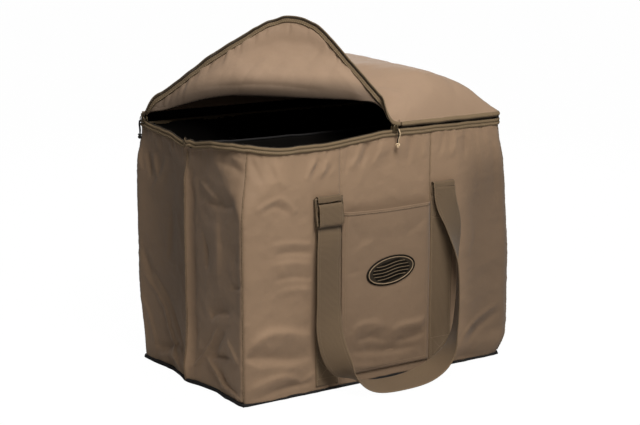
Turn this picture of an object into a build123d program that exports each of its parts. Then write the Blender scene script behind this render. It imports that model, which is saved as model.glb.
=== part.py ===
from build123d import *
import math
import os

# Soft zip-top carry bag with six compartments, in millimetres.
# +X runs along the front face, +Y towards the back, +Z up.
# The origin is the middle of the base, on the ground.

# ---- driving dimensions -------------------------------------------------
LENGTH = 710.0            # outside, left end to right end
DEPTH = 450.0             # outside, front to back
RIM_Z = 556.0             # top of the fabric walls
WALL = 3.0                # padded wall cloth
CORNER_LOW = 12.0         # plan radius of the upright corners near the ground
CORNER_RIM = {"fl": 130.0, "fr": 30.0, "br": 30.0, "bl": 20.0}   # and at the rim
CORNER_SOFT_Z = 400.0     # the corners start to round off above this height

BINDING_H = 9.0           # black binding round the base
BASE_T = 5.0

TAPE_H = 14.0             # zip tape sewn to the rim
TAPE_T = 3.0
COIL_H = 1.0
LID_TAPE_Z = 574.5        # underside of the lid's half of the zip
LID_TAPE_TOP = 583.0
LID_BASE = 583.3

DOME_BASE = 583.5
DOME_H = 123.0            # crown of the stuffed lid above its edge
LID_T = 3.0

FOLD_A = (57.0, -224.0)   # the folded-back corner of the lid turns on this line
FOLD_B = (-351.0, 213.0)
FOLD_Z = 589.0
FOLD_OPEN = 124.0         # how far that corner is folded back, in degrees
CREST = 42.0              # height of the arch at the lid's free edge, measured from the fold
FOLD_GAP = 10.0           # between the lid's crest and the folded corner

SEAM_L, SEAM_R = -104.0, 143.0       # upright seams of the front and the pocket
BACK_SEAM = 124.0
POCKET_TOP, POCKET_FOOT = 398.0, 30.0
POCKET_MOUTH = 9.0        # how far the pocket's mouth stands off the front
POCKET_T = 2.5

WEBBING_W, WEBBING_T = 60.0, 2.4
STRAP_L_X, STRAP_R_X = -139.0, 175.0
STRAP_PIVOT_Y, STRAP_PIVOT_Z = -231.8, 436.0

RIDGE = 13.0              # the raised seam down the middle of each end
DIVIDER_X = 118.0
DIVIDER_TOP = 540.0
CROSS_TOP = 505.0

HX, HY = LENGTH / 2, DEPTH / 2
os.makedirs("parts", exist_ok=True)


def save(name, *solids):
    shape = solids[0] if len(solids) == 1 else Compound(children=[s for s in solids])
    shape.label = name
    export_step(shape, "parts/%s.step" % name)


def smooth(t):
    t = min(max(t, 0.0), 1.0)
    return t * t * (3 - 2 * t)


def add(a, b, k=1.0):
    return tuple(x + k * y for x, y in zip(a, b))


def unit(v):
    n = math.sqrt(sum(x * x for x in v))
    return tuple(x / n for x in v)


def cross(a, b):
    return (a[1] * b[2] - a[2] * b[1], a[2] * b[0] - a[0] * b[2], a[0] * b[1] - a[1] * b[0])


# ---- solids made of flat facets ----------------------------------------
def facets(tris):
    faces = [Face(Wire.make_polygon([Vector(*p) for p in t], close=True)) for t in tris]
    s = Solid(Shell(faces))
    return s


def grid_solid(top, low):
    """A closed sheet between two grids of points of the same size."""
    n, m = len(top), len(top[0])
    tris = []

    def quad(a, b, c, d):
        tris.append((a, b, c))
        tris.append((a, c, d))

    for i in range(n - 1):
        for j in range(m - 1):
            quad(top[i][j], top[i][j + 1], top[i + 1][j + 1], top[i + 1][j])
            quad(low[i][j], low[i + 1][j], low[i + 1][j + 1], low[i][j + 1])
    for i in range(n - 1):
        quad(top[i][0], top[i + 1][0], low[i + 1][0], low[i][0])
        quad(top[i + 1][m - 1], top[i][m - 1], low[i][m - 1], low[i + 1][m - 1])
    for j in range(m - 1):
        quad(top[0][j + 1], top[0][j], low[0][j], low[0][j + 1])
        quad(top[n - 1][j], top[n - 1][j + 1], low[n - 1][j + 1], low[n - 1][j])
    return facets(tris)


def ribbon(path, across, width, thick, first, last):
    """Flat webbing between two stations of a path, with the direction of its width at each."""
    top, low = [], []
    n = len(path)
    for i in range(first, last + 1):
        p = path[i]
        t = unit(add(path[min(i + 1, n - 1)], path[max(i - 1, 0)], -1))
        w = across[i]
        w = unit(add(w, t, -sum(a * b for a, b in zip(w, t))))
        k = cross(t, w)
        top.append([add(add(p, w, -width / 2), k, thick / 2), add(add(p, w, width / 2), k, thick / 2)])
        low.append([add(add(p, w, -width / 2), k, -thick / 2), add(add(p, w, width / 2), k, -thick / 2)])
    return grid_solid(top, low)


def spline(pts, steps):
    """Catmull-Rom through the points."""
    out = []
    for i in range(len(pts) - 1):
        a, b = pts[max(i - 1, 0)], pts[i]
        c, d = pts[i + 1], pts[min(i + 2, len(pts) - 1)]
        for s in range(steps):
            t = s / steps
            out.append(tuple(0.5 * (2 * b[k] + (c[k] - a[k]) * t
                                    + (2 * a[k] - 5 * b[k] + 4 * c[k] - d[k]) * t * t
                                    + (3 * b[k] - a[k] - 3 * c[k] + d[k]) * t ** 3) for k in range(len(b))))
    out.append(tuple(pts[-1]))
    return out


# ---- the bag's outline at any height --------------------------------------
def radii(z):
    k = smooth((z - CORNER_SOFT_Z) / (RIM_Z - CORNER_SOFT_Z))
    return {c: CORNER_LOW + (r - CORNER_LOW) * k for c, r in CORNER_RIM.items()}


SIDES = {  # first corner, last corner, direction along the side, outward direction
    "front": ("fl", "fr", (1, 0), (0, -1)),
    "right": ("fr", "br", (0, 1), (1, 0)),
    "back": ("br", "bl", (-1, 0), (0, 1)),
    "left": ("bl", "fl", (0, -1), (-1, 0)),
}
SPOT = {"fl": (-1, -1), "fr": (1, -1), "br": (1, 1), "bl": (-1, 1)}


def side_line(side, r, hx=HX, hy=HY):
    """Points and outward directions along one side, from the middle of one corner to the middle of the next."""
    a, b, d, o = SIDES[side]
    out = []
    for c, first in ((a, True), (b, False)):
        R = r[c]
        cx, cy = SPOT[c][0] * (hx - R), SPOT[c][1] * (hy - R)
        for i in range(13):
            q = (1 - i / 12) * math.pi / 4 if first else i / 12 * math.pi / 4
            s = -1 if first else 1
            nx = o[0] * math.cos(q) + s * d[0] * math.sin(q)
            ny = o[1] * math.cos(q) + s * d[1] * math.sin(q)
            out.append(((cx + R * nx, cy + R * ny), (nx, ny)))
    return out


def cut_line(line, side, start, stop, fractions, trim=0.2):
    """Evenly measured stations between two places on a side. A place is a coordinate or None for the corner."""
    d = SIDES[side][2]
    s = [0.0]
    for i in range(1, len(line)):
        s.append(s[-1] + math.dist(line[i][0], line[i - 1][0]))
    along = [p[0] * d[0] + p[1] * d[1] for p, _ in line]

    def at(place, default):
        if place is None:
            return default
        v = place * (d[0] + d[1])
        for i in range(1, len(line)):
            if along[i] >= v:
                f = (v - along[i - 1]) / max(along[i] - along[i - 1], 1e-9)
                return s[i - 1] + f * (s[i] - s[i - 1])
        return default

    a, b = at(start, 0.0) + trim, at(stop, s[-1]) - trim
    out = []
    for f in fractions:
        v = a + (b - a) * f
        i = 1
        while i < len(line) - 1 and s[i] < v:
            i += 1
        g = (v - s[i - 1]) / max(s[i] - s[i - 1], 1e-9)
        p = tuple(line[i - 1][0][k] + g * (line[i][0][k] - line[i - 1][0][k]) for k in (0, 1))
        n = unit(tuple(line[i - 1][1][k] + g * (line[i][1][k] - line[i - 1][1][k]) for k in (0, 1)))
        out.append((p, n))
    return out


def wall(side, start, stop, fractions, proud=None, z0=BINDING_H + 0.4, z1=RIM_Z - 0.3):
    rows = [0, .25, .5, .7, .8, .88, .95, 1]
    top, low = [], []
    for f in rows:
        z = z0 + (z1 - z0) * f
        a, b = [], []
        for p, n in cut_line(side_line(side, radii(z)), side, start, stop, fractions):
            k = proud(p, z) if proud else 0.0
            a.append((p[0] + n[0] * k, p[1] + n[1] * k, z))
            b.append((p[0] + n[0] * (k - WALL), p[1] + n[1] * (k - WALL), z))
        top.append(a)
        low.append(b)
    return grid_solid(top, low)


def ridge_height(z):
    return RIDGE * smooth((z - 4) / 60 + 0.4) * (1 - smooth((z - 470) / 62))


def ridge(p, z):
    return ridge_height(z) * math.exp(-(p[1] / 15.0) ** 2)


# front, back and ends
TO_CORNER = [0, .06, .13, .22, .34, .55, 1]
FROM_CORNER = [1 - f for f in reversed(TO_CORNER)]
TO_RIDGE = [0, .06, .13, .22, .34, .55, .78, .86, .92, .96, 1]
FROM_RIDGE = [1 - f for f in reversed(TO_RIDGE)]
save("front_panel_left", wall("front", None, SEAM_L, TO_CORNER))
save("front_panel_center", wall("front", SEAM_L, SEAM_R, [0, 1]))
save("front_panel_right", wall("front", SEAM_R, None, FROM_CORNER))
save("back_panel_right", wall("back", None, BACK_SEAM, TO_CORNER))
save("back_panel_center", wall("back", BACK_SEAM, -BACK_SEAM, [0, 1]))
save("back_panel_left", wall("back", -BACK_SEAM, None, FROM_CORNER))
save("left_end_rear", wall("left", None, 0.0, TO_RIDGE, ridge))
save("left_end_front", wall("left", 0.0, None, FROM_RIDGE, ridge))
save("right_end_front", wall("right", None, 0.0, TO_RIDGE, ridge))
save("right_end_rear", wall("right", 0.0, None, FROM_RIDGE, ridge))


# cord piping over the upright corner seams and down the raised end seams
def piping(points, r=2.0, sides=6):
    top = []
    n = len(points)
    for i, p in enumerate(points):
        t = unit(add(points[min(i + 1, n - 1)], points[max(i - 1, 0)], -1))
        a = unit(cross(t, (0.31, 0.95, 0.02)))
        b = cross(t, a)
        top.append([add(add(p, a, r * math.cos(2 * math.pi * k / sides)), b, r * math.sin(2 * math.pi * k / sides))
                    for k in range(sides)])
    tris = []
    for i in range(n - 1):
        for k in range(sides):
            m = (k + 1) % sides
            tris += [(top[i][k], top[i][m], top[i + 1][m]), (top[i][k], top[i + 1][m], top[i + 1][k])]
    for k in range(1, sides - 1):
        tris += [(top[0][0], top[0][k + 1], top[0][k]), (top[-1][0], top[-1][k], top[-1][k + 1])]
    return facets(tris)


for c, name in (("fl", "front_left"), ("fr", "front_right"), ("br", "back_right"), ("bl", "back_left")):
    pts = []
    for i in range(19):
        z = 12 + (RIM_Z - 16) * i / 18
        R = radii(z)[c]
        k = (R + 3.0) / math.sqrt(2)
        pts.append((SPOT[c][0] * (HX - R + k), SPOT[c][1] * (HY - R + k), z))
    save("corner_piping_" + name, piping(pts))
for s, name in ((-1, "left"), (1, "right")):
    pts = [(s * (HX + ridge_height(z) + 3.0), 0.0, z) for z in (12, 40, 90, 250, 400, 470, 490, 510, 530)]
    save("ridge_piping_" + name, piping(pts))


# ---- base ------------------------------------------------------------------
def plate(hx, hy, r, z0, z1):
    f = Rectangle(2 * hx, 2 * hy)
    for c, (sx, sy) in SPOT.items():
        v = f.vertices().sort_by_distance((sx * hx, sy * hy, 0))[0]
        f = fillet(v, r[c])
    return Pos(0, 0, z0) * extrude(f, amount=z1 - z0)


def inset(r, d):
    return {c: v - d for c, v in r.items()}


low_r = {c: CORNER_LOW for c in SPOT}
save("base_panel", plate(HX - 6, HY - 6, inset(low_r, 6), 0, BASE_T).solid())
save("base_binding", (plate(HX + 2, HY + 2, inset(low_r, -2), 0, BINDING_H)
                      - plate(HX - 5.7, HY - 5.7, inset(low_r, 5.7), -1, BINDING_H + 1)).solid())

# ---- compartments ----------------------------------------------------------
floor_z = BASE_T + 1
save("divider_long", Pos(0, 0, (floor_z + DIVIDER_TOP) / 2)
     * Box(2 * (HX - 6.2), 2.5, DIVIDER_TOP - floor_z))
for sx, a in ((-1, "left"), (1, "right")):
    for sy, b in ((-1, "front"), (1, "rear")):
        y0, y1 = 1.6, HY - 6.2
        save("divider_%s_%s" % (b, a), Pos(sx * DIVIDER_X, sy * (y0 + y1) / 2, (floor_z + CROSS_TOP) / 2)
             * Box(2.5, y1 - y0, CROSS_TOP - floor_z))
save("divider_bindings",
     Pos(0, 0, DIVIDER_TOP + 2.2) * Box(2 * (HX - 6.2), 5, 4),
     *[Pos(sx * DIVIDER_X, sy * (HY + 0.0) / 2, CROSS_TOP + 2.2) * Box(5, HY - 12, 4) for sx in (-1, 1) for sy in (-1, 1)])


# ---- pocket and patch --------------------------------------------------------
def prism(profile, x0, x1):
    """A profile in Y and Z, drawn out along X."""
    f = make_face(Plane.YZ * Polyline(*profile, close=True))
    s = extrude(f, amount=x1 - x0, dir=(1, 0, 0))
    return (Pos(x0, 0, 0) * s).solid()


mouth = -HY - POCKET_MOUTH
foot = -HY - 0.4
save("front_pocket", prism([(foot, POCKET_FOOT), (foot - POCKET_T, POCKET_FOOT), (mouth - POCKET_T, POCKET_TOP),
                            (mouth, POCKET_TOP)], SEAM_L + 3.5, SEAM_R - 2))


def pocket_face(z):
    return foot - POCKET_T + (mouth - foot) * (z - POCKET_FOOT) / (POCKET_TOP - POCKET_FOOT)


za, zb = POCKET_TOP - 14, POCKET_TOP
save("pocket_hem", prism([(pocket_face(za) - .2, za), (pocket_face(za) - 1.4, za), (pocket_face(zb) - 1.4, zb),
                          (pocket_face(zb) - .2, zb)], SEAM_L + 3.5, SEAM_R - 2))
lean = math.degrees(math.atan2(foot - mouth, POCKET_TOP - POCKET_FOOT))
patch = extrude(Ellipse(67, 33), amount=1.8)
patch = Rot(0, 0, 5) * patch
patch = Rot(90, 0, 0) * patch
patch = Rot(lean, 0, 0) * patch
save("oval_patch", (Pos(28, pocket_face(254) - 0.3, 254) * patch).solid())


# ---- webbing sewn to the front and back, and the anchors ---------------------------------
def anchor(x):
    """A fold of webbing round the strap's end: back leg, half turn, short front leg."""
    cy, cz, ro, ri = STRAP_PIVOT_Y, STRAP_PIVOT_Z, 5.9, 3.5
    outer = [(cy + ro * math.cos(math.radians(a)), cz + ro * math.sin(math.radians(a))) for a in range(0, 181, 20)]
    inner = [(cy + ri * math.cos(math.radians(a)), cz + ri * math.sin(math.radians(a))) for a in range(180, -1, -20)]
    # the back leg lies along the front of the bag
    leg = [(cy + ri, cz - 18), (cy + ro, cz - 18)]
    front = [(cy - ro, cz - 6), (cy - ri, cz - 6)]
    return prism(leg[1:] + outer + front + inner + leg[:1], x - WEBBING_W / 2, x + WEBBING_W / 2)


def turned(s):
    return s.rotate(Axis.Z, 180)


def sewn(x):
    return Pos(x, -HY - 0.25 - WEBBING_T / 2 + 0.1, (20 + 416) / 2) * Box(WEBBING_W - 2, WEBBING_T - 0.2, 396)


for x, name in ((STRAP_L_X, "left"), (STRAP_R_X, "right")):
    save("front_webbing_" + name, sewn(x))
    save("front_anchor_" + name, anchor(x))
    save("back_webbing_" + name, turned(sewn(x)))
    save("back_anchor_" + name, turned(anchor(x)))

# ---- carry straps ----------------------------------------------------------------------------
STRAP = [  # place, and the direction of the webbing's width
    ((-140, -240.5, 371), (1, 0, 0)),
    ((-142, -241.5, 352), (1, 0, 0)),
    ((-146, -244, 312), (1, 0, 0)),
    ((-149, -248, 214), (1, -.03, 0)),
    ((-151, -257, 137), (.95, -.3, 0)),
    ((-138, -271, 77), (.72, -.65, -.15)),
    ((-112, -286, 40), (.36, -.9, -.25)),
    ((-67, -297, 17), (.05, -.97, -.25)),
    ((8, -300, 12), (0, -.97, -.23)),
    ((83, -295, 19), (-.02, -.96, -.28)),
    ((143, -284, 43), (-.2, -.94, -.2)),
    ((181, -272, 87), (-.42, -.88, 0)),
    ((199, -262, 164), (-.5, -.84, 0)),
    ((204, -254, 256), (-.6, -.77, 0)),
    ((197, -245, 338), (-.93, -.3, 0)),
    ((182, -240.5, 384), (-1, -.04, 0)),
    ((176, -238.6, 410), (-1, 0, 0)),
    ((175.6, -237.6, 426), (-1, 0, 0)),
]
STEPS = 3
line = spline([p for p, _ in STRAP], STEPS)
wide = spline([w for _, w in STRAP], STEPS)


def strap_piece(a, b):
    """One run of the strap between two of the stations above."""
    return ribbon(line, wide, WEBBING_W, WEBBING_T, a * STEPS, b * STEPS)


def ladder_lock():
    """Plastic strap adjuster: two side rails and three cross bars, hung from the left anchor."""
    s = None
    dirv = unit((0, -8.0, -62.0))
    w = WEBBING_W / 2 + 1.6

    def bar(x0, x1, dist, h, t):
        cy = STRAP_PIVOT_Y + dirv[1] * dist
        cz = STRAP_PIVOT_Z + dirv[2] * dist
        tilt = math.degrees(math.atan2(8.0, 62.0))
        return Pos((x0 + x1) / 2, cy, cz) * Rot(-tilt, 0, 0) * Box(x1 - x0, t, h)

    x = STRAP_L_X
    parts = [bar(x - w - 5, x - w, 27.5, 62, 5), bar(x + w, x + w + 5, 27.5, 62, 5)]
    parts += [Pos(x, STRAP_PIVOT_Y, STRAP_PIVOT_Z) * Rot(0, 90, 0) * Cylinder(2.6, 2 * w + 2),
              bar(x - w - 1, x + w + 1, 32, 7, 4), bar(x - w - 1, x + w + 1, 55.5, 5, 5)]
    s = parts[0]
    for p in parts[1:]:
        s = s + p
    return s.solid()


pieces = {
    "strap_left": strap_piece(0, 5),
    "strap_bottom": strap_piece(5, 11),
    "strap_right": strap_piece(11, 17),
    "strap_adjuster": ladder_lock(),
}
for name, s in pieces.items():
    save("front_" + name, s)
    save("back_" + name, turned(s))


# ---- rim, zip and lid ------------------------------------------------------------------
def rim_ring(out, into, z0, z1):
    return (plate(HX + out, HY + out, inset(CORNER_RIM, -out), z0, z1)
            - plate(HX - into, HY - into, inset(CORNER_RIM, into), z0 - 1, z1 + 1))


def region(points, z0, z1):
    return Pos(0, 0, z0) * extrude(make_face(Polyline(*points, close=True)), amount=z1 - z0)


TAPE_TOP = RIM_Z + TAPE_H
save("rim_zip_tape", rim_ring(2, 1, RIM_Z, TAPE_TOP).solid())
zip_u = region([(-500, -500), (500, -500), (500, 190), (250, 190), (250, -100), (-150, -100), (-150, 190), (-500, 190)],
               500, 700)
save("rim_zip_coil", (rim_ring(1.2, -0.2 + 0.4, TAPE_TOP + 0.05, TAPE_TOP + COIL_H) & zip_u).solid())
save("zip_stops", *[Pos(s * (HX + 0.5), 196, TAPE_TOP + 1.1) * Box(2.4, 7, 2) for s in (1,)],
     Pos(-HX - 0.5, 209.5, TAPE_TOP + 1.1) * Box(2.4, 5, 2))

lid_zone = region([(66, -500), (500, -500), (500, 190), (250, 190), (250, -100), (66, -100)], 500, 700)
flap_zone = region([(13, -500), (-500, -500), (-500, 169), (-310, 169), (-310, -115), (-205, -180), (13, -180)], 500, 700)
save("lid_zip_tape", (rim_ring(2, 1, LID_TAPE_Z + 0.9, LID_TAPE_TOP) & lid_zone).solid())
save("lid_zip_coil", (rim_ring(1.2, 0.2, LID_TAPE_Z, LID_TAPE_Z + 0.85) & lid_zone).solid())

fold_dir = unit((FOLD_B[0] - FOLD_A[0], FOLD_B[1] - FOLD_A[1], 0))
ahead = (-fold_dir[1], fold_dir[0], 0)     # level, square to the fold, towards the folded corner
if ahead[0] > 0:
    ahead = (-ahead[0], -ahead[1], 0)
behind = (-ahead[0], -ahead[1], 0)
fold_len = math.dist(FOLD_A, FOLD_B)
fold_axis = Axis((FOLD_A[0], FOLD_A[1], FOLD_Z), fold_dir)
save("flap_zip_tape", (rim_ring(2, 1, LID_TAPE_Z + 0.9, LID_TAPE_TOP) & flap_zone).solid().rotate(fold_axis, FOLD_OPEN))
save("flap_zip_coil", (rim_ring(1.2, 0.2, LID_TAPE_Z, LID_TAPE_Z + 0.85) & flap_zone).solid().rotate(fold_axis, FOLD_OPEN))


def dome(x, y):
    """Height of the stuffed lid over any place inside the rim."""
    u, v = min(abs(x) / HX, 1), min(abs(y) / HY, 1)
    d = (x - FOLD_A[0]) * behind[0] + (y - FOLD_A[1]) * behind[1]
    g = 0.6 + 0.4 * smooth(d / 160.0)
    return DOME_BASE + DOME_H * (1 - u ** 3.47) * (1 - v ** 9) * (1 - 0.10 * x / LENGTH + 0.16 * y / DEPTH) * g


def fold_point(s):
    return (FOLD_A[0] + fold_dir[0] * fold_len * s, FOLD_A[1] + fold_dir[1] * fold_len * s)


def crest_radius(s):
    """How far the lid's free edge stands from the fold: a low arch between the two ends."""
    return max(9.0, CREST * smooth(s / 0.13 + 0.05) * smooth((1 - s) / 0.2))


def rim_line(out):
    """The rim's outline from fold point A round the right end and back to fold point B, and the other way round."""
    r = inset(CORNER_RIM, -out)
    pts = []
    for side in ("front", "right", "back", "left"):
        ln = side_line(side, r, HX + out, HY + out)
        for i in range(len(ln) - 1):
            a, b = ln[i][0], ln[i + 1][0]
            k = max(1, int(math.dist(a, b) / 6))
            for j in range(k):
                pts.append((a[0] + (b[0] - a[0]) * j / k, a[1] + (b[1] - a[1]) * j / k))
    return pts


def split_rim(out):
    pts = rim_line(out)
    ia = min(range(len(pts)), key=lambda i: math.dist(pts[i], FOLD_A))
    ib = min(range(len(pts)), key=lambda i: math.dist(pts[i], FOLD_B))
    return pts[ia:ib + 1]


def stations(pts, fr):
    s = [0.0]
    for i in range(1, len(pts)):
        s.append(s[-1] + math.dist(pts[i], pts[i - 1]))
    out = []
    for f in fr:
        v = f * s[-1]
        i = 1
        while i < len(pts) - 1 and s[i] < v:
            i += 1
        g = (v - s[i - 1]) / max(s[i] - s[i - 1], 1e-9)
        out.append((pts[i - 1][0] + g * (pts[i][0] - pts[i - 1][0]), pts[i - 1][1] + g * (pts[i][1] - pts[i - 1][1])))
    return out


# the lid: from the crest of the fold out to the rim on the right and at the back
outer_rim, inner_rim = split_rim(-0.5), split_rim(-3.8)
AROUND = [0, .05, .1, .15, .2, .235, .27, .31, .36, .41, .45, .49, .52, .56, .62, .69, .76, .83, .89, .94, 1]
ACROSS = [0, .12, .3, .5, .68, .8, .88, .94, .975, 1]
ro, ri = stations(outer_rim, AROUND), stations(inner_rim, AROUND)
top, low = [], []
for f, bo, bi in zip(AROUND, ro, ri):
    fx, fy = fold_point(f)
    rad = crest_radius(f)
    k = rad * abs(math.cos(math.radians(FOLD_OPEN)))
    cx, cy = fx + behind[0] * k, fy + behind[1] * k
    cz = FOLD_Z + rad * math.sin(math.radians(FOLD_OPEN))
    a, b = [], []
    for t in ACROSS:
        x, y = cx + (bo[0] - cx) * t, cy + (bo[1] - cy) * t
        z = max(dome(x, y) + (cz - dome(cx, cy)) * (1 - t) ** 3, LID_BASE + 3)
        if t == 1:
            z = LID_BASE
        a.append((x, y, z))
        x2, y2 = cx + (bi[0] - cx) * t, cy + (bi[1] - cy) * t
        b.append((x2, y2, LID_BASE if t == 1 else max(z - LID_T, LID_BASE + 0.6 * (1 - t))))
    top.append(a)
    low.append(b)
save("lid_panel", grid_solid(top, low))
save("lid_back_binding", Pos(20, HY - 2.6, LID_BASE - 2.4) * Box(640, 3, 4))


# the folded corner, laid out closed and then turned up about the fold
def reach(s, out):
    """Distance from the fold to the rim, square to the fold."""
    pts = rim_line(out)
    x0, y0 = fold_point(s)
    best = None
    for i in range(len(pts)):
        a, b = pts[i], pts[(i + 1) % len(pts)]
        ex, ey = b[0] - a[0], b[1] - a[1]
        den = ahead[0] * ey - ahead[1] * ex
        if abs(den) < 1e-9:
            continue
        t = ((a[0] - x0) * ey - (a[1] - y0) * ex) / den
        q = ((a[0] - x0) * ahead[1] - (a[1] - y0) * ahead[0]) / den
        if t > 0 and -1e-6 <= q <= 1 + 1e-6 and (best is None or t < best):
            best = t
    return best


def turn(p, angle):
    """A point turned about the fold."""
    o = (FOLD_A[0], FOLD_A[1], FOLD_Z)
    v = add(p, o, -1)
    c, s = math.cos(math.radians(angle)), math.sin(math.radians(angle))
    k = fold_dir
    kv = cross(k, v)
    dot = sum(a * b for a, b in zip(k, v))
    return tuple(o[i] + v[i] * c + kv[i] * s + k[i] * dot * (1 - c) for i in range(3))


top, low = [], []
FLAP_S = [.065, .11, .16, .22, .29, .36, .43, .5, .57, .64, .71, .78, .84, .9, .95]
FLAP_T = [0, .15, .35, .55, .75, .9, 1]
for s in FLAP_S:
    x0, y0 = fold_point(s)
    r0, r1 = crest_radius(s) + FOLD_GAP, reach(s, -1.0)
    r1 = max(r1, r0 + 8)
    a, b = [], []
    for t in FLAP_T:
        r = r0 + (r1 - r0) * t
        z = FOLD_Z - 2 + (LID_BASE - FOLD_Z + 2) * t + 12 * math.sin(math.pi * t) * math.sin(math.pi * (s - .05) / .9)
        p = (x0 + ahead[0] * r, y0 + ahead[1] * r, z)
        b.append(turn(p, FOLD_OPEN))
        a.append(turn((p[0], p[1], z + LID_T), FOLD_OPEN))
    top.append(a)
    low.append(b)
save("flap_panel", grid_solid(top, low))


# ---- sliders and their pulls -------------------------------------------------------------
def slider():
    """A zip slider at the origin of a rim running along X: two plates, the post between the two rows of coil and the eye."""
    z0, z1 = RIM_Z + 9, RIM_Z + 25
    front = Pos(0, -HY - 5.5, (z0 + z1) / 2) * Box(15, 2, z1 - z0)
    back = Pos(0, -HY + 3.5, (z0 + z1) / 2) * Box(15, 2, z1 - z0)
    post = Pos(0, -HY - 1, TAPE_TOP + 2.6) * Box(4, 9.5, 1.7)
    eye = Pos(0, -HY - 8.5, (z0 + z1) / 2 + 2) * Box(4, 5, 2) + Pos(0, -HY - 8.5, (z0 + z1) / 2 - 4) * Box(4, 5, 2) \
        + Pos(0, -HY - 11, (z0 + z1) / 2 - 1) * Box(4, 2, 8)
    return (front + back + post + eye).solid()


PULL_PATH = [(0, 0, 0), (0.6, -1.6, -5.5), (1.9, -2.2, -11.5), (1.2, -1.0, -17.5), (-0.4, 0.2, -23.5), (-0.2, 0.3, -30.5)]
PULL_R = 1.3


def pull():
    """A limp cord from the slider's eye, ending in a knot."""
    pts = [Vector(*p) for p in PULL_PATH]
    rr = []
    for i in range(1, len(pts) - 1):
        a, b = pts[i] - pts[i - 1], pts[i + 1] - pts[i]
        turn_by = math.radians(a.get_angle(b))
        rr.append(0.45 * min(a.length, b.length) / math.tan(turn_by / 2))
    print("pull radii", [round(r, 1) for r in rr])
    path = FilletPolyline(*pts, radius=rr)
    plane = Plane(origin=pts[0], z_dir=pts[1] - pts[0])
    cord = sweep(plane * Circle(PULL_R), path=path)
    print("pull volume / (section x length)", cord.volume / (math.pi * PULL_R ** 2 * path.length))
    knot = Pos(*(pts[-1] + Vector(0, 0, -3.65))) * Cylinder(2.6, 7)
    return cord.solid(), knot.solid()


EYE = (0, -HY - 8.3, RIM_Z + 16)         # inside the eye of the slider's bail
FRONT_SLIDER_X, REAR_SLIDER_Y = 41.0, 197.0
cord, knot = pull()
start = Pos(EYE[0] + 0, EYE[1] - 5.4, EYE[2] - 0.2)
save("front_slider", Pos(FRONT_SLIDER_X, 0, 0) * slider())
save("front_pull_cord", Pos(FRONT_SLIDER_X, 0, 0) * start * cord)
save("front_pull_knot", Pos(FRONT_SLIDER_X, 0, 0) * start * knot)


def to_left_end(s):
    """From the middle of the front to the rear slider's place on the left end."""
    return Pos(-(HX - HY), REAR_SLIDER_Y, 0) * s.rotate(Axis.Z, -90)


save("rear_slider", to_left_end(slider()))
save("rear_pull_cord", to_left_end(start * cord))
save("rear_pull_knot", to_left_end(start * knot))
print("crest radius at mid fold", crest_radius(.5), "flap reach", reach(.5, -1))
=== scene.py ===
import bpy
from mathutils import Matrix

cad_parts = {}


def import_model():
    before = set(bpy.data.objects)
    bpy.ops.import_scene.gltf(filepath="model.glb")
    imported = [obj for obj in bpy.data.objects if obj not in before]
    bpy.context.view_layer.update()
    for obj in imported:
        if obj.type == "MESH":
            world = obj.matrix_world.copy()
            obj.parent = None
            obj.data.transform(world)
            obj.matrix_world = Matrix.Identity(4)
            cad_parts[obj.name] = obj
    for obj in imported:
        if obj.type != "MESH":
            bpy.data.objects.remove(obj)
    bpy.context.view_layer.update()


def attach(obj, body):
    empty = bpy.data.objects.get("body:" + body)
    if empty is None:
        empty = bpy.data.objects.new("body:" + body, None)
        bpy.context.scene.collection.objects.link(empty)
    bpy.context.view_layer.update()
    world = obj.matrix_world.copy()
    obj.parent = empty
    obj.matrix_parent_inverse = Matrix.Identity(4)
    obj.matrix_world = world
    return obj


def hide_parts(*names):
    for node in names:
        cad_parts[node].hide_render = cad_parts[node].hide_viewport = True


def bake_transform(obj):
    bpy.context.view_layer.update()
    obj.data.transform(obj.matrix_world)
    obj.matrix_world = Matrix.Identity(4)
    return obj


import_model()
import math

import bpy
import numpy as np
from mathutils import Matrix, Vector


scene = bpy.context.scene

# ---- camera ---------------------------------------------------------------------------------
cam_data = bpy.data.cameras.new("camera")
cam_data.lens, cam_data.sensor_width = 90.0, 36.0
cam_data.clip_start, cam_data.clip_end = 0.05, 60.0
cam = bpy.data.objects.new("camera", cam_data)
scene.collection.objects.link(cam)
yaw, pitch = math.radians(-33.95), math.radians(11.81)
c_back = Vector((math.sin(yaw) * math.cos(pitch), -math.cos(yaw) * math.cos(pitch), math.sin(pitch)))
c_right = Vector((math.cos(yaw), math.sin(yaw), 0.0))
c_up = c_back.cross(c_right)
cam.matrix_world = Matrix(((c_right.x, c_up.x, c_back.x, -2.0458), (c_right.y, c_up.y, c_back.y, -3.0314),
                           (c_right.z, c_up.z, c_back.z, 1.1127), (0, 0, 0, 1)))
scene.camera = cam


# ---- small maths ------------------------------------------------------------------------------
def smooth(t):
    t = np.clip(t, 0.0, 1.0)
    return t * t * (3 - 2 * t)


def bell(x, c, w):
    return np.exp(-((x - c) / w) ** 2)


def hashed(ix, iy, seed):
    h = (ix * 374761393 + iy * 668265263 + seed * 974634321) & 0xffffffff
    h = ((h ^ (h >> 13)) * 1274126177) & 0xffffffff
    return ((h ^ (h >> 16)) & 0xffff) / 32767.5 - 1.0


def vnoise(x, y, seed=0):
    x, y = np.broadcast_arrays(np.asarray(x, float), np.asarray(y, float))
    ix, iy = np.floor(x).astype(np.int64), np.floor(y).astype(np.int64)
    fx, fy = x - ix, y - iy
    u, v = fx ** 3 * (fx * (fx * 6 - 15) + 10), fy ** 3 * (fy * (fy * 6 - 15) + 10)
    a, b = hashed(ix, iy, seed), hashed(ix + 1, iy, seed)
    c, d = hashed(ix, iy + 1, seed), hashed(ix + 1, iy + 1, seed)
    return (a + (b - a) * u) * (1 - v) + (c + (d - c) * u) * v


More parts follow.
